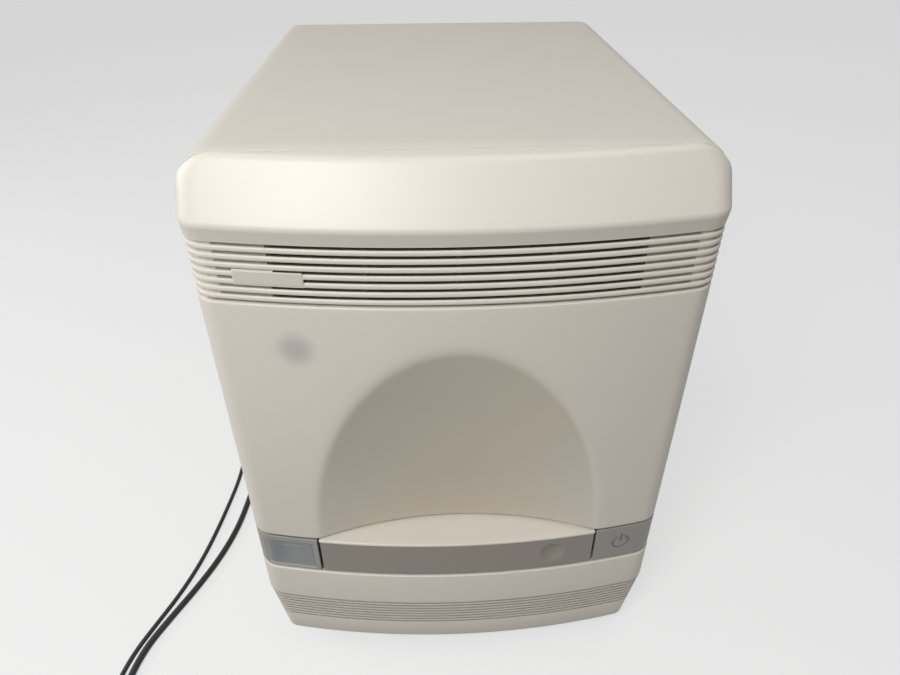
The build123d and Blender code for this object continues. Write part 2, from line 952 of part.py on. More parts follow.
def make_sample_block():
    """The thermal block: 96 tapered wells on the standard pitch."""
    body = rounded(
        (-block_x_size / 2, block_x_size / 2),
        (block_y - block_y_size / 2, block_y + block_y_size / 2),
        (block_low, block_top),
        3,
        Axis.Z,
    )
    wells = [
        Pos(
            (column - (well_columns - 1) / 2) * well_pitch,
            block_y + (row - (well_rows - 1) / 2) * well_pitch,
            block_top - well_depth / 2,
        )
        * Cone(well_foot / 2, well_mouth / 2, well_depth)
        for column in range(well_columns)
        for row in range(well_rows)
    ]
    return body - wells


def make_thermal_tiles():
    """Six thermoelectric tiles between the block and the heat sink."""
    low = deck_top - sheet
    return group(
        block(
            (x - tile_size / 2, x + tile_size / 2),
            (y - tile_size / 2, y + tile_size / 2),
            (low, low + tile_height),
        )
        for x in (-39.5, 0, 39.5)
        for y in (block_y - 20, block_y + 20)
    )


def make_heat_sink():
    """A finned sink under the deck, its fins along the air's way."""
    top = deck_top - sheet
    y = (block_y - sink_y_size / 2, block_y + sink_y_size / 2)
    base = block((-sink_x_size / 2, sink_x_size / 2), y, (top - sink_base, top))
    pitch = (sink_x_size - fin_thickness) / (fin_count - 1)
    fins = []
    for k in range(fin_count):
        left = -sink_x_size / 2 + k * pitch
        fins.append(
            block((left, left + fin_thickness), y, (top - sink_base - fin_height, top - sink_base))
        )
    return fused(base, fins)


def fan_frame(size, corner_hole=2.2):
    """A square fan housing lying on its back about the origin: duct, corner holes, arms and motor seat."""
    body = rounded((-size / 2, size / 2), (-size / 2, size / 2), (0, fan_depth), size / 20, Axis.Z)
    duct = pole((0, 0), size / 2 - 2, -1, fan_depth + 1)
    arms = [
        Rot(0, 0, angle) * block((0, size / 2 - 1), (-2, 2), (0, 3)) for angle in (45, 135, 225, 315)
    ]
    hub = pole((0, 0), size * 0.2, 0, 3)
    place = size * 0.44
    holes = [
        pole((x, y), corner_hole, -1, fan_depth + 1) for x in (-place, place) for y in (-place, place)
    ]
    spindle = pole((0, 0), 2, 3, 8)
    return cut(fused(body - duct, arms + [hub, spindle]), holes)


def fan_rotor(size, blades=7):
    """Hub and pitched blades, clear of the duct."""
    hub = pole((0, 0), size * 0.2, 4, fan_depth - 2)
    socket = pole((0, 0), 2.05, 3, 9)
    ring = pole((0, 0), size / 2 - 3.5, 5, fan_depth - 3) - pole((0, 0), size * 0.2 - 1, 4, fan_depth)
    vanes = []
    for k in range(blades):
        vane = Pos(size * 0.3, 0, fan_depth / 2 + 1) * Rot(38, 0, 0) * Box(size * 0.5, fan_depth, 1.6)
        vanes.append((Rot(0, 0, 360 * k / blades) * vane) & ring)
    return fused(hub, vanes) - socket


def block_fan_place():
    """The block fan blows forward through the fins."""
    middle = floor_top + seat + block_fan_size / 2
    return Pos(0, block_fan_y, middle) * Rot(-90, 0, 0)


def exhaust_fan_place():
    """The exhaust fan lies against the rear panel."""
    return Pos(exhaust_x, panel_front - seat - fan_depth, exhaust_z) * Rot(-90, 0, 0)


# Heated lid


def make_heated_plate():
    """The lid's heated face, with an eye over every well."""
    body = rounded(
        (-lid_half_x, lid_half_x), (block_y - 45, block_y + 45), (lid_low, lid_top), 4, Axis.Z
    )
    eyes = [
        pole(
            (
                (column - (well_columns - 1) / 2) * well_pitch,
                block_y + (row - (well_rows - 1) / 2) * well_pitch,
            ),
            2.5,
            lid_low - 1,
            lid_top + 1,
        )
        for column in range(well_columns)
        for row in range(well_rows)
    ]
    return body - eyes


def make_lid_carrier():
    """The frame that hangs the heated plate from four posts and the lifting nut."""
    low = lid_top
    high = lid_top + carrier_thickness
    half_x = post_x + 10
    body = rounded((-half_x, half_x), (block_y - 44, block_y + 44), (low, high), 5, Axis.Z)
    lug = rounded((-16, 16), (block_y + 30, screw_y + 14), (low, high), 4, Axis.Z)
    nut = pole((0, screw_y), 11, high, high + 10)
    sleeves = [pole(place, post_diameter / 2 + 3, high, high + 8) for place in post_places()]
    view = rounded((-56, 56), (block_y - 38, block_y + 38), (low - 1, high + 1), 4, Axis.Z)
    bores = [pole(place, post_diameter / 2 + 0.1, low - 1, high + 9) for place in post_places()]
    thread = pole((0, screw_y), screw_diameter / 2 + 0.1, low - 1, high + 11)
    return cut(fused(body, [lug, nut] + sleeves), [view, thread] + bores)


def post_places():
    return [(sx * post_x, block_y + sy * post_spread) for sx in (-1, 1) for sy in (-1, 1)]


def make_guide_posts():
    """Four ground posts between the decks."""
    return group(
        pole(place, post_diameter / 2, deck_top, optics_top - sheet) for place in post_places()
    )


def make_lift_screw():
    """The lid's lead screw, with its thread left plain."""
    shaft = pole((0, screw_y), screw_diameter / 2, screw_foot, optics_top + 12)
    collar = pole((0, screw_y), 6.5, optics_top - sheet - 7, optics_top - sheet - 1)
    return chamfer((shaft + collar).edges().filter_by(GeomType.CIRCLE).sort_by(Axis.Z)[0], 1)


def make_lift_motor():
    """The stepper motor that turns the lead screw."""
    low = optics_top
    body = rounded((-21, 21), (screw_y - 21, screw_y + 21), (low, low + 40), 5, Axis.Z)
    body = chamfer(body.faces().sort_by(Axis.Z)[-1].edges(), 1.5)
    return body - pole((0, screw_y), screw_diameter / 2 + 0.1, low - 1, low + 14)


# Optics


def make_shroud():
    """The light shroud narrows from the block's size to the optics housing."""

    def cone(grow, low, high):
        foot = Pos(0, block_y, low) * Rectangle(136 + grow, 102 + grow)
        head = Rectangle(2 * cube_half_x - 6 + grow, 2 * cube_half_y - 6 + grow)
        return loft([foot, Pos(0, block_y, high) * head], ruled=True)

    high = cube_low - seat
    return cone(4, optics_top, high) - cone(0, optics_top, high)


def make_field_lens():
    """A flat field lens over the deck's opening."""
    return rounded(
        (-65, 65), (block_y - 48.5, block_y + 48.5), (optics_top, optics_top + 2.5), 3, Axis.Z
    )


def make_optics_housing():
    """The cast optics housing: a hollow cube, with a back wall that rises to the camera shelf."""
    back = block_y + cube_half_y
    cube = rounded(
        (-cube_half_x, cube_half_x), (block_y - cube_half_y, back), (cube_low, cube_high), 3, Axis.Z
    )
    hollow = block(
        (-cube_half_x + wall, cube_half_x - wall),
        (block_y - cube_half_y + wall, back - wall),
        (cube_low - 1, cube_high - wall),
    )
    lamp_eye = pole((0, beam_z), 15, block_y - cube_half_y - 1, block_y, Axis.Y)
    camera_eye = pole((0, block_y), 16, cube_high - wall - 1, cube_high + 1)
    spine = rounded((-32, 60), (back - wall, back + 5), (cube_low, shelf_high()), 2, Axis.Y)
    shelf = rounded(
        (-28, 60), (block_y - 30, back + 5), (shelf_high() - 4, shelf_high()), 2, Axis.Z
    )
    lens_hole = pole((0, block_y), camera_lens_diameter / 2 + 0.3, shelf_high() - 5, shelf_high() + 1)
    shaft_hole = pole(
        (wheel_pitch_radius, block_y), 4, shelf_high() - 5, shelf_high() + 1
    )
    gap = block((-70, 90), (block_y - 60, back), (cube_high, shelf_high() - 4))
    body = cube + (spine - gap) + shelf
    return cut(body, [hollow, lamp_eye, camera_eye, lens_hole, shaft_hole])


def shelf_high():
    """Top of the camera shelf, over the emission wheel."""
    return cube_high + 19


def make_beam_splitter():
    """The coated glass at 45 degrees, in a bevelled edge frame inside the housing."""
    half_x = cube_half_x - wall - seat
    glass = Pos(0, block_y, beam_z) * Rot(-45, 0, 0) * Box(2 * half_x, 106, 2)
    room = block(
        (-half_x, half_x),
        (block_y - cube_half_y + wall + seat, block_y + cube_half_y - wall - seat),
        (cube_low + 1, cube_high - wall - seat),
    )
    return glass & room


def filter_wheel():
    """A wheel of round filters on a hub, flat about the origin, its stub shaft upwards."""
    disc = pole((0, 0), wheel_radius, 0, wheel_thickness)
    hub = pole((0, 0), 8, 0, wheel_thickness + 3)
    shaft = pole((0, 0), shaft_diameter / 2, wheel_thickness + 3, wheel_thickness + 15)
    body = fused(disc, [hub, shaft])
    for k in range(filter_count):
        angle = math.radians(360 * k / filter_count)
        centre = (wheel_pitch_radius * math.cos(angle), wheel_pitch_radius * math.sin(angle))
        body = body - pole(centre, filter_diameter / 2 - 1, -1, wheel_thickness + 1)
        body = body - pole(centre, filter_diameter / 2, 1, wheel_thickness + 1)
        body = body + pole(centre, filter_diameter / 2, 1, 3)
    return body


def filter_motor():
    """A small stepper motor whose face is at the origin, its bore open to it."""
    body = rounded(
        (-motor_size / 2, motor_size / 2), (-motor_size / 2, motor_size / 2), (0, motor_length), 3, Axis.Z
    )
    body = chamfer(body.faces().sort_by(Axis.Z)[-1].edges(), 1)
    return body - pole((0, 0), shaft_diameter / 2 + 0.1, -1, 12)


def emission_place():
    """The emission wheel lies over the housing, its filters passing the camera's axis."""
    return Pos(wheel_pitch_radius, block_y, cube_high + 4) * Rot(0, 0, 180)


def excitation_place():
    """The excitation wheel stands in front of the housing, its filters passing the lamp's axis."""
    wheel_y = block_y - cube_half_y - 2
    return Pos(-wheel_pitch_radius, wheel_y, beam_z) * Rot(90, 0, 0)


def make_filter_motors():
    """The two filter wheels' motors, each against its mounting plate."""
    emission = Pos(wheel_pitch_radius, block_y, shelf_high()) * filter_motor()
    excitation = (
        Pos(-wheel_pitch_radius, lamp_plate_front() - seat, beam_z) * Rot(90, 0, 0) * filter_motor()
    )
    return group([emission, excitation])


def lamp_plate_front():
    """Front face of the plate between the lamp and the excitation wheel."""
    return block_y - cube_half_y - 2 - wheel_thickness - 5 - sheet


def make_camera():
    """The cooled camera with its lens down through the shelf and fins on its top."""
    high = shelf_high() + camera_height
    half = camera_size / 2
    body = rounded((-half, half), (block_y - half, block_y + half), (shelf_high(), high), 3, Axis.Z)
    grooves = [
        block((-half - 1, half + 1), (block_y + k * 6 - 1.8, block_y + k * 6 + 1.8), (high - 9, high + 1))
        for k in range(-2, 3)
    ]
    lens = pole((0, block_y), camera_lens_diameter / 2, cube_high + 10, shelf_high())
    mouth = pole((0, block_y), camera_lens_diameter / 2 - 3, cube_high + 9, cube_high + 12)
    return cut(body + lens, grooves + [mouth])


def make_lamp_housing():
    """The lamp's carrier: a plate that stands on the deck, with a vented lamp box in front."""
    plate_front = lamp_plate_front()
    plate = rounded(
        (-90, 46), (plate_front, plate_front + sheet), (optics_top, beam_z + 52), 4, Axis.Y
    )
    foot = block((-90, 46), (plate_front - 22, plate_front + sheet), (optics_top, optics_top + sheet))
    box = rounded(
        (-lamp_half_x, lamp_half_x),
        (lamp_front, plate_front),
        (beam_z - lamp_half_z, beam_z + lamp_half_z),
        3,
        Axis.Y,
    )
    room = rounded(
        (-lamp_half_x + sheet, lamp_half_x - sheet),
        (lamp_front + sheet, plate_front),
        (beam_z - lamp_half_z + sheet, beam_z + lamp_half_z - sheet),
        2,
        Axis.Y,
    )
    slots = [
        block((-12, 12), (y, y + 3), (beam_z + lamp_half_z - 4, beam_z + lamp_half_z + 1))
        for y in (lamp_front + 5 + 8 * k for k in range(5))
    ]
    beam = pole((0, beam_z), 12, plate_front - 1, plate_front + sheet + 1, Axis.Y)
    shaft = pole((-wheel_pitch_radius, beam_z), 4, plate_front - 1, plate_front + sheet + 1, Axis.Y)
    trunnion = pole((lever_y(), beam_z), 2.5, lamp_half_x, lamp_half_x + 6, Axis.X)
    body = cut(fused(plate, [foot, box]), [room, beam, shaft] + slots)
    return body + trunnion


def make_lamp():
    """The reflector lamp: a bowl, its pinch and two pins."""
    plate_front = lamp_plate_front()
    rim = plate_front - seat
    outside = [(0, 0), (6, 0), (7, 6), (12, 14), (17.5, 26), (17.5, 28)]
    inside = [(16, 28), (10, 16), (0, 10)]
    bowl = Polyline(*outside, *inside, close=True)
    shape = revolve(Plane.XZ * make_face(bowl), Axis.Z)
    pinch = block((-5, 5), (-3, 3), (-8, 0.5))
    capsule = pole((0, 0), 3, 9, 20)
    lamp = fused(shape, [pinch, capsule])
    return Pos(0, rim - 28, beam_z) * Rot(-90, 0, 0) * lamp


def lever_y():
    """The lever's trunnion, part of the way along the lamp box."""
    return lamp_front + 28


def make_lamp_lever():
    """The lever beside the lamp box that frees the lamp."""
    y = lever_y()
    near = lamp_half_x + 0.8
    arm = rounded((near, near + 4.4), (y - 5, y + 5), (beam_z - 5, beam_z + 34), 4, Axis.X)
    grip = rounded((near, near + 14.2), (y - 6, y + 6), (beam_z + 26, beam_z + 34), 3, Axis.X)
    bore = pole((y, beam_z), 2.55, lamp_half_x, lamp_half_x + 20, Axis.X)
    return arm + grip - bore


# Electrical bay


def make_power_supply():
    """A closed supply in a vented steel box."""
    left = inlet_x - 42
    right = board_left - 12
    far = rear - 39
    near = far - supply_length
    body = rounded((left, right), (near, far), (floor_top, 82), 2, Axis.Z)
    count = int((right - left - 28) // 10) + 1
    slots = [
        block((left + 12 + 10 * k, left + 16 + 10 * k), (near + 24, far - 22), (78, 83))
        for k in range(count)
    ]
    return cut(body, slots)


def make_control_board():
    """The control board on standoffs, with its connectors, a small sink and the data port."""
    near = rear - board_length
    top = board_top
    board = block((board_left, board_right), (near, pan_rear - 4), (board_z, top))
    standoffs = [
        pole((x, y), 3, floor_top, board_z)
        for x in (board_left + 6, board_right - 6)
        for y in (near + 8, rear - 17)
    ]
    sink = block((60, 100), (near + 36, near + 76), (top, top + 5))
    fins = [block((x, x + 2), (near + 36, near + 76), (top + 5, top + 20)) for x in range(60, 100, 6)]
    chips = [
        block((x, x + 16), (near + 21, near + 37), (top, top + 2)) for x in (0, 24, board_right - 38)
    ]
    headers = [block((x, x + 34), (rear - 37, rear - 29), (top, top + 9)) for x in (30, 80)]
    cans = [pole((x, near + 66), 6, top, top + 22) for x in (5, 20, 35)]
    port = block((port_x - 6, port_x + 6), (panel_rear - 17, panel_rear + 1), (top, top + 11))
    socket = block((port_x - 4.4, port_x + 4.4), (panel_rear - 10, panel_rear + 2), (top + 1.3, top + 9.7))
    return fused(board, standoffs + [sink, port] + fins + chips + headers + cans) - socket


def make_power_inlet():
    """The mains inlet: a flanged shell with three blades."""
    flange = rounded(
        (inlet_x - 16.5, inlet_x + 16.5),
        (panel_rear, panel_rear + 2.4),
        (inlet_z - 12.5, inlet_z + 12.5),
        3,
        Axis.Y,
    )
    shell = rounded(
        (inlet_x - 13.7, inlet_x + 13.7),
        (panel_rear - 22, panel_rear + 1),
        (inlet_z - 9.7, inlet_z + 9.7),
        2,
        Axis.Y,
    )
    recess = inlet_nose(0.3, panel_rear - 15, panel_rear + 3)
    blades = [
        block((x - 1, x + 1), (panel_rear - 16, panel_rear - 2), (z - 2, z + 2))
        for x, z in inlet_poles()
    ]
    tabs = [
        block((x - 0.4, x + 0.4), (panel_rear - 29, panel_rear - 21), (z - 3, z + 3))
        for x, z in inlet_poles()
    ]
    return fused(flange + shell - recess, blades + tabs)


def inlet_poles():
    """The inlet's three poles, the earth above the other two."""
    return [(inlet_x + x, inlet_z + z) for x, z in ((-7, -1), (0, 3), (7, -1))]


def inlet_nose(grow, low, high):
    """The mains connector's nose: a rectangle with its two upper corners cut off."""
    half_x = 12 + grow
    half_z = 8 + grow
    outline = Polyline(
        (inlet_x - half_x, inlet_z - half_z),
        (inlet_x + half_x, inlet_z - half_z),
        (inlet_x + half_x, inlet_z + half_z - 5),
        (inlet_x + half_x - 5, inlet_z + half_z),
        (inlet_x - half_x + 5, inlet_z + half_z),
        (inlet_x - half_x, inlet_z + half_z - 5),
        close=True,
    )
    return extrude(Plane.XZ.offset(-high) * make_face(outline), high - low)


# Cords


def tapered_relief(start, end, wide, narrow):
    """A strain relief that narrows along +Y about the Z axis origin line."""
    length = end - start
    return Pos(0, (start + end) / 2, 0) * Rot(-90, 0, 0) * Cone(wide / 2, narrow / 2, length)


def make_mains_connector():
    """The connector in the inlet: nose, grip body and strain relief."""
    face_line = panel_rear + 2.4 + seat
    nose = inlet_nose(0, panel_rear - 14, face_line + 1)
    grip = rounded(
        (inlet_x - 14, inlet_x + 14), (face_line, face_line + 28), (inlet_z - 10, inlet_z + 10), 4, Axis.Y
    )
    relief = tapered_relief(face_line + 26, panel_rear + relief_reach, 13, 8.4)
    relief = Pos(inlet_x, 0, inlet_z) * relief
    sockets = [
        block((x - 1.4, x + 1.4), (panel_rear - 15, panel_rear - 1.4), (z - 2.4, z + 2.4))
        for x, z in inlet_poles()
    ]
    return cut(fused(nose, [grip, relief]), sockets)


def make_data_connector():
    """The data cable's square connector in the port."""
    z = board_top + 5.5
    face_line = panel_rear + 1.3
    nose = block((port_x - 4.1, port_x + 4.1), (panel_rear - 8, face_line + 1), (z - 3.9, z + 3.9))
    grip = rounded((port_x - 6, port_x + 6), (face_line, face_line + 24), (z - 5.2, z + 5.2), 2, Axis.Y)
    relief = tapered_relief(face_line + 22, panel_rear + data_relief_reach, 9, 6)
    relief = Pos(port_x, 0, z) * relief
    return fused(nose, [grip, relief])


mains_route = [
    (inlet_x, 272, inlet_z),
    (inlet_x, 287, inlet_z),
    (inlet_x - 5, 304, 53),
    (inlet_x - 18, 317, 42),
    (inlet_x - 37, 324, 28),
    (inlet_x - 61, 324, 15),
    (-198, 315, 6),
    (-221, 298, 3.3),
    (-236, 272, 3.3),
    (-243, 238, 3.3),
    (-245, 196, 3.3),
    (-245, 150, 3.3),
    (-243.2, 105, 3.3),
    (-241.9, 60, 3.3),
    (-241.5, 18, 3.3),
    (-243, -22, 3.3),
    (-247, -62, 3.3),
    (-257, -101, 3.3),
    (-272, -138, 3.3),
    (-290, -174, 3.3),
    (-305, -206, 3.3),
    (-311, -240, 3.3),
    (-310.5, -272.4, 3.3),
]
mains_coil_centre = (-268, -296)
data_route = [
    (port_x, 262, board_z + 7.1),
    (port_x, 276, board_z + 7.1),
    (port_x - 4, 290, board_z + 2),
    (port_x - 13, 303, 20),
    (port_x - 28, 314, 9),
    (port_x - 49, 322, 2.6),
    (-92, 330, 2.3),
    (-134, 337, 2.3),
    (-178, 337, 2.3),
    (-217, 324, 2.3),
    (-246, 297, 2.3),
    (-262, 259, 2.3),
    (-269, 215, 2.3),
    (-271, 165, 2.3),
    (-269, 112, 2.3),
    (-264, 62, 2.3),
    (-262, 18, 2.3),
    (-266, -26, 2.3),
    (-271, -68, 2.3),
    (-278, -108, 2.3),
    (-289, -146, 2.3),
    (-303, -180, 2.3),
    (-315, -210, 2.3),
    (-321, -242, 2.3),
    (-321, -282, 2.3),
    (-319.5, -322, 2.3),
    (-320, -361.6, 2.3),
]
data_coil_centre = (-290.8, -378)


def bend_radii(points):
    """Each corner's arc, as large as its two runs allow."""
    radii = []
    for a, b, c in zip(points, points[1:], points[2:]):
        before = Vector(*b) - Vector(*a)
        after = Vector(*c) - Vector(*b)
        turn = math.radians(before.get_angle(after))
        radii.append(0.45 * min(before.length, after.length) / math.tan(turn / 2))
    return radii


def make_tube(points, diameter, name):
    """A cord's tube: straight runs joined by tangent arcs."""
    radii = bend_radii(points)
    path = FilletPolyline(*points, radius=radii)
    section = Plane(origin=path @ 0, z_dir=path % 0) * Circle(diameter / 2)
    tube = sweep(section, path=path)
    expected = math.pi * diameter**2 / 4 * path.length
    print(name, "length", round(path.length, 1), "tightest", round(min(radii), 1))
    print(name, "radii", [round(r) for r in radii], "volume ratio", round(tube.volume / expected, 4))
    return tube


def make_coil(centre, radius, diameter, lanes):
    """The outer shape of a coil of cord, two layers of turns high."""
    outer = radius + lanes * diameter / 2
    inner = radius - lanes * diameter / 2
    return pole(centre, outer, 0.05, 2 * diameter) - pole(centre, inner, -1, 2 * diameter + 1)


def beside_coil(centre, radius, diameter, lanes, half_width):
    """Where a plug's strain relief starts: on the coil's outer lane, its edge against the coil."""
    lane = radius + (lanes - 1) * diameter / 2
    outer = radius + lanes * diameter / 2
    reach = math.sqrt(outer**2 - (lane - half_width) ** 2)
    return centre[0] + reach + 0.1, centre[1] - lane


def make_mains_plug():
    """The moulded plug: a rounded body, two flat blades and a round pin."""
    start, y = beside_coil(mains_coil_centre, mains_coil_radius, mains_diameter, coil_lanes, 4.4)
    x = start + 24
    z = 12
    body = rounded((x, x + 34), (y - 13, y + 13), (z - 11.9, z + 11), 5, Axis.X)
    relief = Pos(x - 12, y, z) * Rot(0, 90, 0) * Cone(4.4, 7.5, 24)
    blades = [
        block((x + 33, x + 51), (y + side * 6.3 - 0.8, y + side * 6.3 + 0.8), (z - 1, z + 5.3))
        for side in (-1, 1)
    ]
    pin = pole((y, z - 6), 2.4, x + 33, x + 54, Axis.X)
    return fused(body, [relief, pin] + blades)


def make_data_plug():
    """The flat data plug at the cable's far end."""
    start, y = beside_coil(data_coil_centre, data_coil_radius, data_diameter, coil_lanes, 3)
    x = start + 12
    z = 4.3
    body = rounded((x, x + 24), (y - 8, y + 8), (z - 4.2, z + 4.2), 2, Axis.X)
    relief = Pos(x - 6, y, z) * Rot(0, 90, 0) * Cone(3, 4, 12)
    shell = block((x + 23, x + 42), (y - 6, y + 6), (z - 2.2, z + 2.3))
    mouth = block((x + 30, x + 43), (y - 5.6, y + 5.6), (z + 0.1, z + 1.9))
    return fused(body, [relief, shell]) - mouth


save(make_front_bezel(), "front_bezel")
save(make_intake_filter(), "intake_filter")
save(make_top_cover(), "top_cover")
save(make_rear_screws(), "rear_screws")
save(make_rear_panel(), "rear_panel")
save(make_base_pan(), "base_pan")
save(make_feet(), "feet")
save(make_front_skirt(), "front_skirt")
save(make_front_frame(), "front_frame")
save(make_access_door(), "access_door")
save(make_door_pins(), "door_pins")
save(make_door_magnet(), "door_magnet")
save(make_status_panel(), "status_panel")
save(make_status_lens(), "status_lens")
save(make_status_board(), "status_board")
save(make_power_button(), "power_button")
save(make_power_switch(), "power_switch")
save(make_drawer_front(), "drawer_front")
save(make_carriage(), "plate_carriage")
save(make_runners(), "drawer_runners")
save(make_guides(), "drawer_guides")
save(make_latch(), "drawer_latch")
save(make_chassis_sides(), "chassis_sides")
save(make_block_deck(), "block_deck")
save(make_optics_deck(), "optics_deck")
save(make_sample_block(), "sample_block")
save(make_thermal_tiles(), "thermal_tiles")
save(make_heat_sink(), "heat_sink")
save(block_fan_place() * fan_frame(block_fan_size), "block_fan_frame")
save(block_fan_place() * fan_rotor(block_fan_size), "block_fan_rotor")
save(exhaust_fan_place() * fan_frame(exhaust_fan_size), "exhaust_fan_frame")
save(exhaust_fan_place() * fan_rotor(exhaust_fan_size), "exhaust_fan_rotor")
save(make_heated_plate(), "heated_plate")
save(make_lid_carrier(), "lid_carrier")
save(make_guide_posts(), "guide_posts")
save(make_lift_screw(), "lift_screw")
save(make_lift_motor(), "lift_motor")
save(make_shroud(), "light_shroud")
save(make_field_lens(), "field_lens")
save(make_optics_housing(), "optics_housing")
save(make_beam_splitter(), "beam_splitter")
save(emission_place() * filter_wheel(), "emission_wheel")
save(excitation_place() * filter_wheel(), "excitation_wheel")
save(make_filter_motors(), "filter_motors")
save(make_camera(), "camera")
save(make_lamp_housing(), "lamp_housing")
save(make_lamp(), "lamp")
save(make_lamp_lever(), "lamp_lever")
save(make_power_supply(), "power_supply")
save(make_control_board(), "control_board")
save(make_power_inlet(), "power_inlet")
save(make_mains_connector(), "mains_connector")
save(make_tube(mains_route, mains_diameter, "mains_lead"), "mains_lead")
save(make_coil(mains_coil_centre, mains_coil_radius, mains_diameter, coil_lanes), "mains_coil")
save(make_mains_plug(), "mains_plug")
save(make_data_connector(), "data_connector")
save(make_tube(data_route, data_diameter, "data_cable"), "data_cable")
save(make_coil(data_coil_centre, data_coil_radius, data_diameter, coil_lanes), "data_coil")
save(make_data_plug(), "data_plug")
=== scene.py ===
# %% [markdown]
# A bench-top real-time PCR instrument, seen from above its front edge. It heats and cools a
# plate of 96 small wells and reads the light that comes from them while it runs.
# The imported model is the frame: it gives every inner part, every joint and every size. On
# top of it this lesson lays the mouldings that show. They could be modelled by hand, but each
# is worked out with numpy instead, because a formula says plainly what the shape is.

# %% Load the frame
import json
import math

import bmesh
import bpy
import numpy as np
from mathutils import Matrix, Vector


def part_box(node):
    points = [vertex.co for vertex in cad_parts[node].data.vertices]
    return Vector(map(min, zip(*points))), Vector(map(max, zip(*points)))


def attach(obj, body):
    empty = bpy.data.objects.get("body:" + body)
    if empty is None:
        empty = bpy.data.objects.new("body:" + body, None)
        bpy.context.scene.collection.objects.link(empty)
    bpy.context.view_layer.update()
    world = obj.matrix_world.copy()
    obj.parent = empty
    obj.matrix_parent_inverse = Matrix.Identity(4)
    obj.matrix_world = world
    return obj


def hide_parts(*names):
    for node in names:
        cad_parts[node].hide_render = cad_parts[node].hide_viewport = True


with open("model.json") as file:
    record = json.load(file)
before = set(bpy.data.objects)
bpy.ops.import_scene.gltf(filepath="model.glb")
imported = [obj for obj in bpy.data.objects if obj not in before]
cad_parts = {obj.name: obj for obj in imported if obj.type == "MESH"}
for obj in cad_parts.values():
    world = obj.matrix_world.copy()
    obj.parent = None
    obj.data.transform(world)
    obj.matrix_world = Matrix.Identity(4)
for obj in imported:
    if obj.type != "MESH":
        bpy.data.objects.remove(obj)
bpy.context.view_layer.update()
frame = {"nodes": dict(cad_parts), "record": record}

MM = 0.001
nodes = frame["nodes"]

# %% [markdown]
# The camera stands in front of the instrument and well above it, so the upright edges run
# together towards the bench. One could place it by eye. Here its place and its three
# directions were fitted to the corners of the case, because a wide view from so near shows
# every error. The focal length is given as a lens for a 36 mm wide sensor.

# %% Camera
CAMERA_PLACE = (-0.01844, -0.58731, 0.62920)
CAMERA_RIGHT = (0.99929, -0.03727, -0.00457)
CAMERA_DOWN = (-0.02501, -0.56979, -0.82141)
CAMERA_FORWARD = (0.02801, 0.82094, -0.57032)
LENS = 27.055


def stand_at(thing, place, right, up, back):
    """Gives an object its place and turns it so that its x, y and z point right, up and
    back. The three directions are the columns of its matrix."""
    turned = np.eye(4)
    turned[:3, 0], turned[:3, 1], turned[:3, 2], turned[:3, 3] = right, up, back, place
    thing.matrix_world = Matrix(turned.tolist())


camera_data = bpy.data.cameras.new("camera")
camera_data.sensor_width = 36
camera_data.lens = LENS
camera_data.clip_start = 0.01
camera_data.clip_end = 50
camera = bpy.data.objects.new("camera", camera_data)
bpy.context.scene.collection.objects.link(camera)
stand_at(camera, CAMERA_PLACE, CAMERA_RIGHT, -np.array(CAMERA_DOWN), -np.array(CAMERA_FORWARD))
bpy.context.scene.camera = camera
print("camera at", [round(v, 3) for v in CAMERA_PLACE])

# %% [markdown]
# A finish is a small tree of shader nodes. Moulded plastic is never one flat colour: the
# tool leaves a fine grain in it, and years of light and hands leave a faint cloudiness.
# Each finish could have a tree of its own, but one helper builds them all, so that each
# finish below is a line of plain numbers. Everything reads Object coordinates, which stay
# put on the part in every view.

# %% Finish helper
GRAIN_SIZE = 0.6
CLOUD = 0.03
CLOUD_SIZE = 60


def noise(tree, vector, size, detail):
    """The value of a noise whose lumps are size mm wide."""
    texture = tree.nodes.new("ShaderNodeTexNoise")
    texture.inputs["Scale"].default_value = 1 / MM / size
    texture.inputs["Detail"].default_value = detail
    tree.links.new(vector, texture.inputs["Vector"])
    return texture.outputs["Fac"]


def finish_of(name, colour, roughness, grain=0.0, grain_size=GRAIN_SIZE, cloud=CLOUD,
              cloud_size=CLOUD_SIZE, metallic=0.0, coat=0.0, stretch=(1, 1, 1)):
    """A Principled finish. Its colour goes from colour * (1 - cloud) to colour * (1 + cloud)
    with a wide noise, and grain is the depth in mm of a fine noise that tilts the surface."""
    material = bpy.data.materials.new(name)
    material.use_nodes = True
    tree = material.node_tree
    shader = tree.nodes["Principled BSDF"]
    shader.inputs["Roughness"].default_value = roughness
    shader.inputs["Metallic"].default_value = metallic
    shader.inputs["Coat Weight"].default_value = coat
    place = tree.nodes.new("ShaderNodeTexCoord")
    mapping = tree.nodes.new("ShaderNodeMapping")
    mapping.inputs["Scale"].default_value = stretch
    tree.links.new(place.outputs["Object"], mapping.inputs["Vector"])
    vector = mapping.outputs["Vector"]

    mix = tree.nodes.new("ShaderNodeMix")
    mix.data_type = "RGBA"
    mix.inputs["A"].default_value = (*(c * (1 - cloud) for c in colour), 1)
    mix.inputs["B"].default_value = (*(min(1, c * (1 + cloud)) for c in colour), 1)
    tree.links.new(noise(tree, vector, cloud_size, 4), mix.inputs["Factor"])
    tree.links.new(mix.outputs["Result"], shader.inputs["Base Color"])

    if grain > 0:
        bump = tree.nodes.new("ShaderNodeBump")
        bump.inputs["Strength"].default_value = 1
        bump.inputs["Distance"].default_value = grain * MM
        tree.links.new(noise(tree, vector, grain_size, 2), bump.inputs["Height"])
        tree.links.new(bump.outputs["Normal"], shader.inputs["Normal"])
    return material


# %% [markdown]
# The outside is warm off-white, a little greyer on the painted cover than on the moulded
# plastic. The drawer's face, the window's frame and the power key are three greys that are
# close but not the same, because they are separate mouldings of separate batches. One grey
# for all would be simpler and would make the row look like one piece.

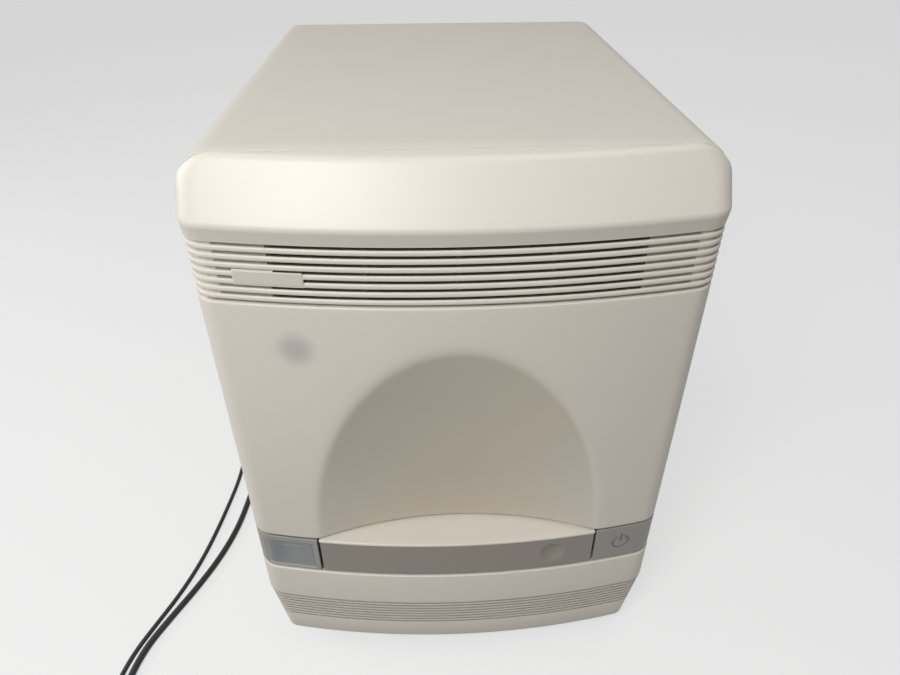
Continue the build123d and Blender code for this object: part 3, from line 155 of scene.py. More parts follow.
# %% Outside finishes
case_plastic = finish_of(
    "case_plastic", (0.64, 0.60, 0.53), 0.42, grain=0.02, grain_size=1.1, cloud=0.02
)
cover_paint = finish_of(
    "cover_paint", (0.58, 0.545, 0.485), 0.40, grain=0.015, grain_size=1.6, cloud=0.025
)
drawer_grey = finish_of("drawer_grey", (0.245, 0.225, 0.19), 0.40, grain=0.02, grain_size=0.9)
frame_grey = finish_of("frame_grey", (0.29, 0.285, 0.265), 0.42, grain=0.015, grain_size=0.9)
key_grey = finish_of("key_grey", (0.27, 0.26, 0.235), 0.42, grain=0.02, grain_size=0.9)
sign_dark = finish_of("sign_dark", (0.175, 0.165, 0.15), 0.55, grain=0.02, grain_size=0.7)
window_grey = finish_of("window_grey", (0.235, 0.24, 0.245), 0.22, cloud=0.05, cloud_size=14)
# Painted shade on the floors of the blind grooves and on the skirt's grooves.
groove_shade = finish_of(
    "groove_shade", (0.34, 0.31, 0.27), 0.5, grain=0.02, cloud=0.05, cloud_size=20
)
# The floors of the open slots: partly the black foam's own colour, partly painted shade.
slot_foam_and_shade = finish_of(
    "slot_foam_and_shade", (0.075, 0.064, 0.05), 0.9, grain=0.3, grain_size=1.6, cloud=0.3, cloud_size=3
)
print("outside finishes", len(bpy.data.materials))

# %% [markdown]
# The inner parts get the finishes of what they are made of: zinc-plated sheet with its faint
# crystals, machined and black anodised aluminium, ground steel, enamel, solder resist. They
# show when the door is open, through the slots and from behind.

# %% Inner finishes
zinc = finish_of("zinc", (0.55, 0.56, 0.55), 0.38, cloud=0.10, cloud_size=9, metallic=1.0)
machined = finish_of(
    "machined", (0.74, 0.74, 0.73), 0.30, grain=0.01, grain_size=0.5, metallic=1.0,
    stretch=(1, 12, 12),
)
ground_steel = finish_of(
    "ground_steel", (0.68, 0.68, 0.67), 0.18, metallic=1.0, cloud=0.04, cloud_size=4
)
black_anodised = finish_of(
    "black_anodised", (0.035, 0.035, 0.037), 0.42, cloud=0.10, cloud_size=6, metallic=0.6
)
black_plastic = finish_of(
    "black_plastic", (0.022, 0.022, 0.022), 0.48, grain=0.02, grain_size=0.8
)
enamel = finish_of("enamel", (0.03, 0.03, 0.033), 0.35, cloud=0.06, coat=0.2)
soft_rubber = finish_of("soft_rubber", (0.03, 0.03, 0.03), 0.8, grain=0.05, grain_size=1.2)
board_green = finish_of(
    "board_green", (0.015, 0.14, 0.05), 0.30, cloud=0.25, cloud_size=5, coat=0.3
)
ceramic = finish_of("ceramic", (0.80, 0.80, 0.77), 0.5, cloud=0.03)
lever_blue = finish_of("lever_blue", (0.02, 0.16, 0.40), 0.4, grain=0.02)
foam_black = finish_of(
    "foam_black", (0.03, 0.03, 0.03), 0.95, grain=0.5, grain_size=1.4, cloud=0.3, cloud_size=2
)
mains_vinyl = finish_of("mains_vinyl", (0.018, 0.018, 0.019), 0.38, grain=0.01, grain_size=2)
data_vinyl = finish_of("data_vinyl", (0.022, 0.022, 0.024), 0.42, grain=0.01, grain_size=2)
lens_glass = finish_of("lens_glass", (0.85, 0.90, 0.92), 0.05, cloud=0.01)
glass_shader = lens_glass.node_tree.nodes["Principled BSDF"]
glass_shader.inputs["Transmission Weight"].default_value = 0.9
print("all finishes", len(bpy.data.materials))

# %% [markdown]
# Every solid of the frame names a material slot. Each slot gets one finish, so that a solid
# that no new piece replaces is dressed as well, down to the last screw. Handing them out one
# by one would work too, but a table can't miss a solid without an error.

# %% Dress the solids
finish_by_slot = {
    "case_plastic": case_plastic,
    "frame_plastic": frame_grey,
    "cover_paint": cover_paint,
    "drawer_plastic": drawer_grey,
    "key_plastic": key_grey,
    "window_plastic": window_grey,
    "foam": foam_black,
    "bright_steel": ground_steel,
    "zinc_sheet": zinc,
    "foot_rubber": soft_rubber,
    "black_plastic": black_plastic,
    "circuit_board": board_green,
    "black_aluminium": black_anodised,
    "silver_aluminium": machined,
    "white_ceramic": ceramic,
    "motor_paint": enamel,
    "clear_glass": lens_glass,
    "lever_plastic": lever_blue,
    "cord_vinyl": mains_vinyl,
    "data_vinyl": data_vinyl,
}
for row in frame["record"]["subparts"]:
    mesh = nodes[row["node"]].data
    mesh.materials.clear()
    mesh.materials.append(finish_by_slot[row["material_slot"]])

# %% [markdown]
# The door has one soft grey smudge at its upper left, and its finger recess is painted
# darker and browner than the face: painted shade, where shade falls in the recess. A painted
# picture could hold both. Here they are laid over the case's own finish, as far as a value that
# the door's mesh holds at each point says, so they keep to the outside and need no picture.

# %% Door finish: smudge and painted shade
SMUDGE_TINT = (0.72, 0.72, 0.76)
# The recess's tint is painted shade: darker and browner where the recess lies in shade.
RECESS_SHADE_TINT = (0.80, 0.77, 0.71)


def wear_and_shade_copy(base, name, marks):
    """A copy of a finish. For each (attribute, tint) in marks its colour is multiplied by the
    tint, as far as the piece's own attribute of that name says."""
    material = base.copy()
    material.name = name
    tree = material.node_tree
    shader = tree.nodes["Principled BSDF"]
    for attribute, tint in marks:
        under = shader.inputs["Base Color"].links[0].from_socket
        wear_and_shade = tree.nodes.new("ShaderNodeAttribute")
        wear_and_shade.attribute_name = attribute
        mix = tree.nodes.new("ShaderNodeMix")
        mix.data_type = "RGBA"
        mix.blend_type = "MULTIPLY"
        mix.inputs["B"].default_value = (*tint, 1)
        tree.links.new(wear_and_shade.outputs["Fac"], mix.inputs["Factor"])
        tree.links.new(under, mix.inputs["A"])
        tree.links.new(mix.outputs["Result"], shader.inputs["Base Color"])
    return material


door_plastic = wear_and_shade_copy(
    case_plastic, "door_plastic", [("smudge", SMUDGE_TINT), ("recess", RECESS_SHADE_TINT)]
)
print("worn finish", door_plastic.name)

# %% [markdown]
# Two leads come out of the back, run round the left side and leave the picture at its
# lower left: a mains lead and a thinner data cable. Each is one fixed length on one smooth
# spline. A simulation could lay them, but a lead that someone has put in place lies where it
# was put, so the points along the bench are listed one by one, the same ones as in the model.
# What the picture doesn't show of each is wound into a neat coil just past its edge.

# %% Winding of a coil
COIL_POINTS = 16
COIL_TURNS = 5.25


def wound(centre, radius, diameter, fit):
    """The turns of a coil two layers high, as points: a circle whose radius steps in by one
    cord diameter a turn, rises one diameter, and steps out again, over five and a quarter
    turns. It starts at the centre's left, heading for the front. The spline runs a little
    inside its points, so fit lets them out until the whole lead is its real length."""
    turns = np.arange(1, int(COIL_TURNS * COIL_POINTS) + 1) / COIL_POINTS
    outer = radius + diameter
    steps_at = (0.75, 1.75, 2.5, 3.25, 4.25)
    steps = [np.clip((turns - start) / 0.25, 0, 1) for start in steps_at]
    distance = fit * (outer + diameter * (-steps[0] - steps[1] + steps[3] + steps[4]))
    height = diameter * (0.51 + 1.015 * steps[2])
    angle = math.pi + 2 * math.pi * turns
    return np.stack(
        [centre[0] + distance * np.cos(angle), centre[1] + distance * np.sin(angle), height],
        axis=1,
    )


print("points in a coil", int(COIL_TURNS * COIL_POINTS))

# %% Cord routes
mains_diameter = 6.5
mains_route = [
    (-110, 272, 58), (-110, 287, 58), (-115, 304, 53), (-128, 317, 42),
    (-147, 324, 28), (-171, 324, 15), (-198, 315, 6), (-221, 298, 3.3),
    (-236, 272, 3.3), (-243, 238, 3.3), (-245, 196, 3.3), (-245, 150, 3.3),
    (-243.2, 105, 3.3), (-241.9, 60, 3.3), (-241.5, 18, 3.3), (-243, -22, 3.3),
    (-247, -62, 3.3), (-257, -101, 3.3), (-272, -138, 3.3), (-290, -174, 3.3),
    (-305, -206, 3.3), (-311, -240, 3.3), (-310.5, -272.4, 3.3),
]
data_diameter = 4.5
data_route = [
    (-15, 262, 37.1), (-15, 276, 37.1), (-19, 290, 32), (-28, 303, 20),
    (-43, 314, 9), (-64, 322, 2.6), (-92, 330, 2.3), (-134, 337, 2.3),
    (-178, 337, 2.3), (-217, 324, 2.3), (-246, 297, 2.3), (-262, 259, 2.3),
    (-269, 215, 2.3), (-271, 165, 2.3), (-269, 112, 2.3), (-264, 62, 2.3),
    (-262, 18, 2.3), (-266, -26, 2.3), (-271, -68, 2.3), (-278, -108, 2.3),
    (-289, -146, 2.3), (-303, -180, 2.3), (-315, -210, 2.3), (-321, -242, 2.3),
    (-321, -282, 2.3), (-319.5, -322, 2.3), (-320, -361.6, 2.3),
]
print("route points", len(mains_route), len(data_route))

# %% Cord helper
PLUG_OVERLAP = 6


def laid_cord(name, route, turns, diameter, plug, finish):
    """A round cord on a NURBS line through the route, round the coil and into the plug."""
    low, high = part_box(plug)
    into = PLUG_OVERLAP * MM
    plug_x, plug_y, plug_z = low.x + into, (low.y + high.y) / 2, (low.z + high.z) / 2
    last_x, last_z = turns[-1, 0] * MM, turns[-1, 2] * MM
    tail = [
        ((last_x + plug_x) / 2 - into / 2, plug_y, (last_z + plug_z) / 2),
        (plug_x - into, plug_y, plug_z),
        (plug_x, plug_y, plug_z),
    ]
    points = np.concatenate([np.array(route) * MM, turns * MM, np.array(tail)])
    curve = bpy.data.curves.new(name, "CURVE")
    curve.dimensions = "3D"
    curve.bevel_depth = diameter * MM / 2
    curve.bevel_resolution = 5
    curve.use_fill_caps = True
    curve.resolution_u = 6
    spline = curve.splines.new("NURBS")
    spline.points.add(len(points) - 1)
    spline.points.foreach_set("co", np.c_[points, np.ones(len(points))].ravel())
    spline.order_u = 3
    spline.use_endpoint_u = True
    curve.materials.append(finish)
    cord = bpy.data.objects.new(name, curve)
    bpy.context.scene.collection.objects.link(cord)
    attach(cord, "case")
    print(name, "points", len(points))
    return cord


# %% Lay the cords
mains_turns = wound((-268, -296), 36, mains_diameter, 1.013)
mains_cord = laid_cord(
    "mains_cord", mains_route, mains_turns, mains_diameter, "mains_plug", mains_vinyl
)
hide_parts("mains_lead", "mains_coil")
data_turns = wound((-290.8, -378), 24.75, data_diameter, 0.992)
data_cord = laid_cord("data_cord", data_route, data_turns, data_diameter, "data_plug", data_vinyl)
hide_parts("data_cable", "data_coil")

# %% [markdown]
# Every moulding on the front has the same plan: a very shallow arc, two rounded corners and
# two short straight sides back to the seam. A box with its edges rounded by a Bevel would
# come near it, but tapers, chamfers and grooves would then need cutting. Here a moulding is a
# section carried along the plan. Each station of the section has its own arc, width and
# height, so all those forms are the same kind of surface: a grid of two parameters.

# %% Plan of the front
FRONT_ARC = 804
FACE_Y = -221.5
SEAM_Y = -185
HALF_WIDTH = 175
CORNER = 20
CORNER_POINTS = 15
WALL = 3


def arc_y(x, front_y=FACE_Y):
    """y of the shallow front arc: the front's y plus the arc's fall at x."""
    return front_y + FRONT_ARC - np.sqrt(FRONT_ARC**2 - x**2)


def half_plan(front_y, half, corner, xs, end_y=SEAM_Y):
    """Half of the plan, from x = xs[0] to the line y = end_y. The arc comes first, the corner
    circle touches it from inside and the side runs straight back. The points past the last
    of xs are spaced evenly by length."""
    centre_x = half - corner
    centre_y = front_y + FRONT_ARC - math.sqrt((FRONT_ARC - corner) ** 2 - centre_x**2)
    touch_x = centre_x * FRONT_ARC / (FRONT_ARC - corner)
    arc_x = np.linspace(0, touch_x, 500)
    front = arc_y(arc_x, front_y)
    turn = np.linspace(math.atan2(front[-1] - centre_y, touch_x - centre_x), 0, 80)[1:]
    x = np.concatenate([arc_x, centre_x + corner * np.cos(turn), [half]])
    y = np.concatenate([front, centre_y + corner * np.sin(turn), [max(end_y, centre_y) + 1]])
    length = np.concatenate([[0], np.cumsum(np.hypot(np.diff(x), np.diff(y)))])
    whole = np.interp(end_y, y, length)
    columns = np.minimum(np.interp(xs, x, length), whole)
    rest = np.linspace(columns[-1], whole, CORNER_POINTS + 1)[1:]
    along = np.concatenate([columns, rest])
    return np.interp(along, length, x), np.interp(along, length, y)


def full_plan(front_y, half, corner, xs, left_y=SEAM_Y, right_y=SEAM_Y):
    """Both halves, from the left end to the right end. xs starts at 0."""
    left_x, left = half_plan(front_y, half, corner, xs, left_y)
    right_x, right = half_plan(front_y, half, corner, xs, right_y)
    return np.concatenate([-left_x[:0:-1], right_x]), np.concatenate([left[:0:-1], right])


print("the arc falls", round(float(arc_y(HALF_WIDTH - CORNER) - FACE_Y), 2), "mm at the corners")

# %% [markdown]
# A grid of points becomes a closed piece when its rows run round a section and its first and
# last rows are filled. Blender's own Screw or Skin tools could do it, but a plain list of
# four-cornered faces is as short and says which point joins which.

# %% Pieces from grids


def at_height(x, y, z):
    """A ring of points, all at one height."""
    return np.stack([x, y, np.full_like(x, z)], 1)


def quads(rows, columns):
    """Four corners of each cell of a grid whose last column joins its first."""
    row = np.arange(rows - 1)[:, None]
    column = np.arange(columns)[None, :]
    after = (column + 1) % columns
    first = row * columns
    second = (row + 1) * columns
    return np.stack(
        [first + column, first + after, second + after, second + column], axis=-1
    ).reshape(-1, 4)


def dressed(name, mesh, body, finish, replaced, sharp):
    """Merges doubled points, turns the faces outwards and hands the piece to its body. Edges
    that turn by more than sharp degrees are shaded sharp."""
    shape = bmesh.new()
    shape.from_mesh(mesh)
    bmesh.ops.remove_doubles(shape, verts=shape.verts, dist=0.00001)
    bmesh.ops.dissolve_degenerate(shape, edges=shape.edges, dist=0.000005)
    bmesh.ops.recalc_face_normals(shape, faces=shape.faces)
    shape.to_mesh(mesh)
    shape.free()
    mesh.shade_smooth()
    mesh.set_sharp_from_angle(angle=math.radians(sharp))
    for one in finish if isinstance(finish, list) else [finish]:
        mesh.materials.append(one)
    piece = bpy.data.objects.new(name, mesh)
    bpy.context.scene.collection.objects.link(piece)
    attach(piece, body)
    if replaced:
        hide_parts(*replaced)
    print(name, "points", len(mesh.vertices), "faces", len(mesh.polygons))
    return piece


def solid_from_grid(name, points, body, finish, replaced, sharp):
    """A closed piece: rows of points that each run round a section, joined row to row, with
    the first and the last row filled. points has the shape rows, columns, 3, in mm."""
    rows, columns = points.shape[:2]
    faces = quads(rows, columns).tolist()
    faces.append(list(range(columns)))
    faces.append(list(range(rows * columns - 1, (rows - 1) * columns - 1, -1)))
    mesh = bpy.data.meshes.new(name)
    mesh.from_pydata((points.reshape(-1, 3) * MM).tolist(), [], faces)
    return dressed(name, mesh, body, finish, replaced, sharp)


def face_middles(piece):
    """x, y and z of the middle of every face, in mm."""
    middle = np.zeros(len(piece.data.polygons) * 3)
    piece.data.polygons.foreach_get("center", middle)
    return middle.reshape(-1, 3).T / MM


def give_finish(piece, index):
    """Gives each face the finish of that number in the piece's own list."""
    piece.data.polygons.foreach_set("material_index", index.astype(np.int32))
    print(piece.name, "faces of another finish", int((index > 0).sum()))


print("cells in a grid of 3 by 8", len(quads(3, 8)))

# %% [markdown]
# The forehead and the vent band are one moulding. Round the front run seven slots between
# rounded ribs. They are open in the middle of the front and only blind grooves round the
# corners, and three webs tie the ribs together. Cutting slots with a Boolean leaves ragged
# faces, so here a slot's depth is a function of where one is along the plan.

# %% Vent slots
SLOT_TOP = 439.6
SLOT_PITCH = 5.87
SLOT_COUNT = 7
SLOT_HEIGHT = 2.1
RIB_ROUND = 1.25
SLOT_DEPTH = 7
BLIND_DEPTH = 2.6
WEB_DEPTH = 2.2
WEBS = (0, 59, 118)
WEB_HALF = 1.5
BAND_LOW = 399.66
PLATE = (-143, -98, 412.5, 422)
PLATE_REST = 0.5


def rib_edge(z, direction):
    """A quarter circle at a rib's edge: (height, inset) pairs that turn into the slot at z."""
    turn = np.radians([0, 22.5, 45, 67.5, 90])
    return [
        (z + direction * RIB_ROUND * (1 - math.sin(a)), RIB_ROUND * (1 - math.cos(a)))
        for a in turn
    ]


def band_stations():
    """(height, inset) pairs up the band, with each slot's floor at the full depth."""
    stations = rib_edge(BAND_LOW, 1)[::-1]
    for row in range(SLOT_COUNT - 1, -1, -1):
        low = SLOT_TOP - row * SLOT_PITCH - SLOT_HEIGHT / 2
        high = SLOT_TOP - row * SLOT_PITCH + SLOT_HEIGHT / 2
        stations += rib_edge(low, -1) + [(low, SLOT_DEPTH), (high, SLOT_DEPTH)]
        stations += rib_edge(high, 1)[::-1]
    return stations


def slot_reach(x, z):
    """The most that a slot may sink at x: the full depth, less at a web, the blind depth
    past the last web, and nothing behind the blank plate."""
    reach = np.where(np.abs(x) > WEBS[-1], BLIND_DEPTH, SLOT_DEPTH)
    for web in WEBS:
        reach = np.where(np.abs(np.abs(x) - web) < WEB_HALF, WEB_DEPTH, reach)
    left, right, low, high = PLATE
    behind = (x > left - PLATE_REST) & (x < right + PLATE_REST)
    return np.where(behind & (low - 1 < z < high + 1), 0.0, reach)


print("stations up the band", len(band_stations()))

# %% [markdown]
# Above the band the moulding goes out over a small chamfer to the brow, leans back as one
# broad face and ends in a flat strip on top. A Bevel modifier would round all its edges
# alike. The real tool has a tight chamfer, a round brow and a rounder crest, so each corner
# of the profile gets a circle of its own.

# %% Forehead profile
TOP_Z = 490
SIDE_ROUND = 18
BROW_FOOT = (FACE_Y, 441.6)
BROW = (-224.6, 452.4)
CREST = (-201.8, TOP_Z)
FOOT_ROUND, BROW_ROUND, CREST_ROUND = 3, 6, 7


def rounded_corner(before, corner, after, radius, count):
    """Points of the circle of that radius that touches both lines through corner."""
    before, corner, after = (np.array(p, float) for p in (before, corner, after))
    a = (before - corner) / np.linalg.norm(before - corner)
    b = (after - corner) / np.linalg.norm(after - corner)
    half = math.acos(np.clip(a @ b, -1, 1)) / 2
    reach = radius / math.tan(half)
    middle = corner + (a + b) / np.linalg.norm(a + b) * radius / math.sin(half)
    start, stop = corner + a * reach - middle, corner + b * reach - middle
    share = np.linspace(0, 1, count)[:, None]
    swept = math.acos(np.clip(start @ stop / radius**2, -1, 1))
    arc = (np.sin((1 - share) * swept) * start + np.sin(share * swept) * stop) / math.sin(swept)
    return middle + arc


def brow_stations():
    """(front y, height) pairs over the brow: chamfer, brow, leaning face and top edge."""
    upright = (FACE_Y, BROW_FOOT[1] - 10)
    chamfer = rounded_corner(upright, BROW_FOOT, BROW, FOOT_ROUND, 4)
    nose = rounded_corner(BROW_FOOT, BROW, CREST, BROW_ROUND, 9)
    edge = rounded_corner(BROW, CREST, (SEAM_Y, TOP_Z), CREST_ROUND, 9)
    face = nose[-1] + (edge[0] - nose[-1]) * np.linspace(0, 1, 8)[1:-1, None]
    return np.concatenate([chamfer, nose, face, edge])


def half_width_at(z, inset=0.0):
    """Half the width at a height: straight sides, then a quarter circle into the top."""
    radius = SIDE_ROUND - inset
    over = np.clip(z - (TOP_Z - SIDE_ROUND), 0, radius)
    return HALF_WIDTH - inset - radius + math.sqrt(max(radius**2 - over**2, 0))


print("stations over the brow", len(brow_stations()))

# %% [markdown]
# The columns of the grid lie where something changes: both sides of each web, both ends of
# the blank plate, and in between often enough for the arc. Then every ring of points uses
# the same columns, and the whole moulding is one grid from the band to the inner wall.

# %% Forehead moulding
WEB_COLUMNS = (-WEB_HALF - 0.25, -WEB_HALF + 0.01, WEB_HALF - 0.01, WEB_HALF + 0.25)
PLATE_COLUMNS = [97.4, 97.6, 143.4, 143.6]
SEAM_EDGE = ((-3, 0), (-0.7, 0), (-0.2, 0.2), (0, 0.7))
band_xs = [0] + [web + side for web in WEBS for side in WEB_COLUMNS if web + side > 0]
band_xs += list(range(8, 58, 7)) + list(range(66, 115, 7)) + PLATE_COLUMNS + [124, 130, 136, 142]
band_xs = sorted(band_xs)


def bezel_rows():
    """Rings of points from the band's lower edge over the brow to the seam, then back along
    the inner wall. In the band a ring lies between the outer plan and the plan of the slot
    floors, by the share of the slot depth that its station has."""
    x, y = full_plan(FACE_Y, HALF_WIDTH, CORNER, band_xs)
    floor_x, floor_y = full_plan(
        FACE_Y + SLOT_DEPTH, HALF_WIDTH - SLOT_DEPTH, CORNER - SLOT_DEPTH, band_xs
    )
    depths = [(BAND_LOW, np.full_like(x, WALL))]
    depths += [(z, np.minimum(slot_reach(x, z), inset)) for z, inset in band_stations()]
    rings = []
    for z, depth in depths:
        share = depth / SLOT_DEPTH
        rings.append(at_height(x + (floor_x - x) * share, y + (floor_y - y) * share, z))
    for front_y, z in brow_stations():
        rings.append(at_height(*full_plan(front_y, half_width_at(z), CORNER, band_xs), z))
    top = rings[-1]
    for past_seam, drop in SEAM_EDGE:
        strip = top.copy()
        strip[:, 1] = np.maximum(top[:, 1], SEAM_Y + past_seam)
        strip[:, 2] -= drop
        rings.append(strip)
    for front_y, z in brow_stations()[::-4]:
        low = min(z, TOP_Z - WALL)
        inner_y = min(front_y + WALL, SEAM_Y - 2 * WALL)
        inner = full_plan(inner_y, half_width_at(low, WALL), CORNER - WALL, band_xs)
        rings.append(at_height(*inner, low))
    foot = full_plan(FACE_Y + SLOT_DEPTH + 1, HALF_WIDTH - WALL, CORNER - WALL, band_xs)
    rings.append(at_height(*foot, BAND_LOW + WALL))
    return np.array(rings).transpose(1, 0, 2)


bezel = solid_from_grid(
    "forehead", bezel_rows(), "case", [case_plastic, slot_foam_and_shade, groove_shade], ["front_bezel"],
    40,
)

# %% [markdown]
# Behind the open slots lies black filter foam. A lamp alone won't make the slots as dark as
# they look, because pale plastic throws light into them. So the faces at their floors get
# finishes of their own, found by how deep the middle of a face lies behind the front. The
# open slots' floors are near black: partly the foam's own colour, partly painted shade. The
# blind grooves' floors get painted shade.

# %% Dark slots


def slot_shades(piece):
    """1 on the floors of the open slots, partly the foam's black and partly painted shade, 2 on
    those of the blind grooves, painted shade, 0 elsewhere.
    """
    x, y, z = face_middles(piece)
    plan_x, plan_y = full_plan(FACE_Y, HALF_WIDTH, CORNER, band_xs)
    depth = y - np.interp(x, plan_x, plan_y)
    sunk = (depth > RIB_ROUND + 0.3) & (depth < SLOT_DEPTH + 0.3)
    sunk &= (np.abs(x) < HALF_WIDTH - CORNER) & (z < SLOT_TOP + 3) & (z > BAND_LOW + 2)
    open_slot = np.abs(x) < WEBS[-1] + WEB_HALF
    return np.where(sunk, np.where(open_slot, 1, 2), 0)


give_finish(bezel, slot_shades(bezel))

# %% [markdown]
# The door is the largest moulding. Its finger recess is a barrel: a circle in plan whose
# radius shrinks with the square of the height, turned about an upright line in front of the
# face. A Boolean with such a barrel would leave a knife edge. Here, where the barrel is
# deeper than the face it is the surface, and a soft maximum of the two rounds the edge
# between them as the moulding tool does.

# %% Finger recess
SCOOP_FOOT_Z = 163.8
SCOOP_RADIUS = 314
SCOOP_DEPTH = 31.3
SCOOP_RISE = 200
SCOOP_SOFT = 1.6


def scoop_depth(x, z):
    """How far the recess lies behind the face at x and z, in mm: a soft maximum of nought
    and the barrel's y less the face's y."""
    radius = SCOOP_RADIUS - SCOOP_DEPTH * ((z - SCOOP_FOOT_Z) / SCOOP_RISE) ** 2
    barrel_y = FACE_Y + SCOOP_DEPTH - SCOOP_RADIUS + np.sqrt(radius**2 - x**2)
    behind = barrel_y - arc_y(x)
    return (behind + np.sqrt(behind**2 + SCOOP_SOFT**2)) / 2


print("recess at its foot", round(float(scoop_depth(0.0, SCOOP_FOOT_Z)), 1), "mm deep")

# %% Access door
DOOR_LOW, DOOR_HIGH = 165.8, 397.36
DOOR_ENDS = (-190, -186)
DOOR_EDGE = 1.1
DOOR_FLANGE = 13
door_xs = list(np.arange(0, 126, 1.5)) + [130, 136, 142]


def door_section():
    """The door's section as (inset, height) pairs, round the outside and back inside. The
    heights lie close together as far up as the recess goes."""
    turn = np.radians(np.linspace(90, 0, 5))
    edge = [(DOOR_EDGE * (1 - math.cos(a)), DOOR_EDGE * (1 - math.sin(a))) for a in turn]
    heights = np.concatenate([np.arange(168.5, 372, 1.7), np.arange(374, 395, 4)])
    outside = [(inset, DOOR_LOW + rise) for inset, rise in edge] + [(0, z) for z in heights]
    outside += [(inset, DOOR_HIGH - fall) for inset, fall in edge[::-1]]
    inside = [(WALL, z) for z in np.linspace(DOOR_HIGH - WALL, DOOR_LOW + WALL, 36)]
    flange = WALL + DOOR_FLANGE
    top = [(flange, DOOR_HIGH), (flange, DOOR_HIGH - WALL)]
    bottom = [(flange, DOOR_LOW + WALL), (flange, DOOR_LOW)]
    return outside + top + inside + bottom


def door_rows():
    """Each station of the section is a ring inset from the plan, then pushed back by the
    recess where the front faces forward."""
    rings = []
    for inset, z in door_section():
        side = min(inset, CORNER - 2)
        x, y = full_plan(FACE_Y + inset, HALF_WIDTH - side, CORNER - side, door_xs, *DOOR_ENDS)
        sunk = scoop_depth(x, z) * (np.abs(x) < 160)
        flange = max(inset - WALL, 0)
        rings.append(at_height(x, y + sunk - flange * np.clip(sunk / 8, 0, 1), z))
    return np.array(rings).transpose(1, 0, 2)


door = solid_from_grid(
    "door", door_rows(), "door", door_plastic, ["access_door"], 45
)

# %% [markdown]
# The door's finish needs to know where the smudge lies and where the painted shade goes.
# Painting it by hand would do, but both follow the shape: the painted shade fills the whole
# recess down from its edge, and the smudge is one round spot that a hand rubs beside it. So both
# values are worked out from the recess's depth and from the distance to the spot, and only on
# the outside.

# %% Smudge and painted shade on the door
SMUDGE = (-110, 363)
SMUDGE_REACH = 14
WEAR_AND_SHADE_HALF_WIDTH = 160


def eased_step(value):
    """A step from nought to one with flat ends: three times the square less twice the cube."""
    share = np.clip(value, 0, 1)
    return share * share * (3 - 2 * share)


def mark_wear_and_shade(piece):
    """Stores two values at each point of the outside, nought elsewhere. recess is painted shade:
    it rises over the first two mm of the recess's depth and halves towards its lower corners.
    smudge falls off smoothly with the distance from its middle."""
    mesh = piece.data
    places = np.zeros(len(mesh.vertices) * 3)
    mesh.vertices.foreach_get("co", places)
    x, y, z = places.reshape(-1, 3).T / MM
    inner_x = np.clip(x, -WEAR_AND_SHADE_HALF_WIDTH, WEAR_AND_SHADE_HALF_WIDTH)
    depth = scoop_depth(inner_x, z)
    outside = (np.abs(x) < WEAR_AND_SHADE_HALF_WIDTH) & (y < arc_y(inner_x) + depth + WALL / 2)
    corner = np.clip(np.abs(x) / 110, 0, 1) ** 2 * np.clip((300 - z) / 100, 0, 1)
    # The recess value is painted shade. It darkens the recess, less towards its lower corners.
    recess = eased_step((depth - SCOOP_SOFT / 2) / 2) * (1 - 0.5 * corner) * outside
    away = np.hypot(x - SMUDGE[0], z - SMUDGE[1]) / SMUDGE_REACH
    smudge = eased_step(1.25 - away) * outside
    for name, values in (("recess", recess), ("smudge", smudge)):
        mesh.attributes.new(name, "FLOAT", "POINT").data.foreach_set("value", values)
        print(name, "points", int((values > 0.5).sum()))


mark_wear_and_shade(door)

# %% [markdown]
# The skirt under the drawer stands a millimetre proud, so its top edge catches the light.
# It is upright for the first 38 mm, then leans in all round. Eight fine grooves follow it
# below the bend, and the last band is plain. Grooves this fine are often left to a bump in
# the finish. Here they are cut, because a bump vanishes at the outline.

# %% Skirt
SKIRT_TOP, SKIRT_KINK, SKIRT_LOW = 122.9, 85, 17.8
SKIRT_Y = -222.5
SKIRT_EDGE = 1.2
SKIRT_TAPER = 9.5
SKIRT_CORNER_TAPER = 8
SKIRT_GROOVES = 8
SKIRT_PITCH = 5
SKIRT_CUT = 1.3
SKIRT_SLIT = 2.0
SKIRT_FLANGE = 12
GROOVE_START = 0.8
skirt_xs = list(range(0, 145, 9))


def skirt_section():
    """(inset, height) pairs, down the outside and up the inner wall."""
    turn = np.radians(np.linspace(90, 0, 5))
    section = [
        (SKIRT_EDGE * (1 - math.cos(a)), SKIRT_TOP - SKIRT_EDGE * (1 - math.sin(a))) for a in turn
    ]
    section.append((0, SKIRT_KINK + 1.5))
    for groove in range(SKIRT_GROOVES):
        high = SKIRT_KINK - GROOVE_START - groove * SKIRT_PITCH
        low = high - SKIRT_SLIT
        section += [(0, high + 0.35), (0.12, high + 0.08), (SKIRT_CUT, high)]
        section += [(SKIRT_CUT, low), (0.12, low - 0.08), (0, low - 0.35)]
    section += [(0, SKIRT_LOW + 2), (0.6, SKIRT_LOW + 0.6), (2, SKIRT_LOW)]
    section += [(WALL, SKIRT_LOW), (WALL, SKIRT_KINK), (WALL, SKIRT_TOP - WALL)]
    section += [(WALL + SKIRT_FLANGE, SKIRT_TOP - WALL), (WALL + SKIRT_FLANGE, SKIRT_TOP)]
    return section


def skirt_rows():
    """Each station of the section as a ring. Below the bend the ring draws in steadily and
    its corners tighten."""
    rings = []
    for inset, z in skirt_section():
        share = max(0, (SKIRT_KINK - z) / (SKIRT_KINK - SKIRT_LOW))
        whole = inset + SKIRT_TAPER * share
        corner = max(CORNER - inset - SKIRT_CORNER_TAPER * share, 5)
        x, y = full_plan(SKIRT_Y + whole, HALF_WIDTH - whole, corner, skirt_xs)
        rings.append(at_height(x, y, z))
    return np.array(rings).transpose(1, 0, 2)


skirt = solid_from_grid(
    "skirt", skirt_rows(), "case", [case_plastic, groove_shade], ["front_skirt"],
    50,
)

# %% [markdown]
# Seen from above, a groove shows only its lower wall, which catches the light that should
# leave it dark. So the floors and the lower walls of the grooves get painted shade, a darker
# finish picked by their height.

# %% Painted shade in the grooves


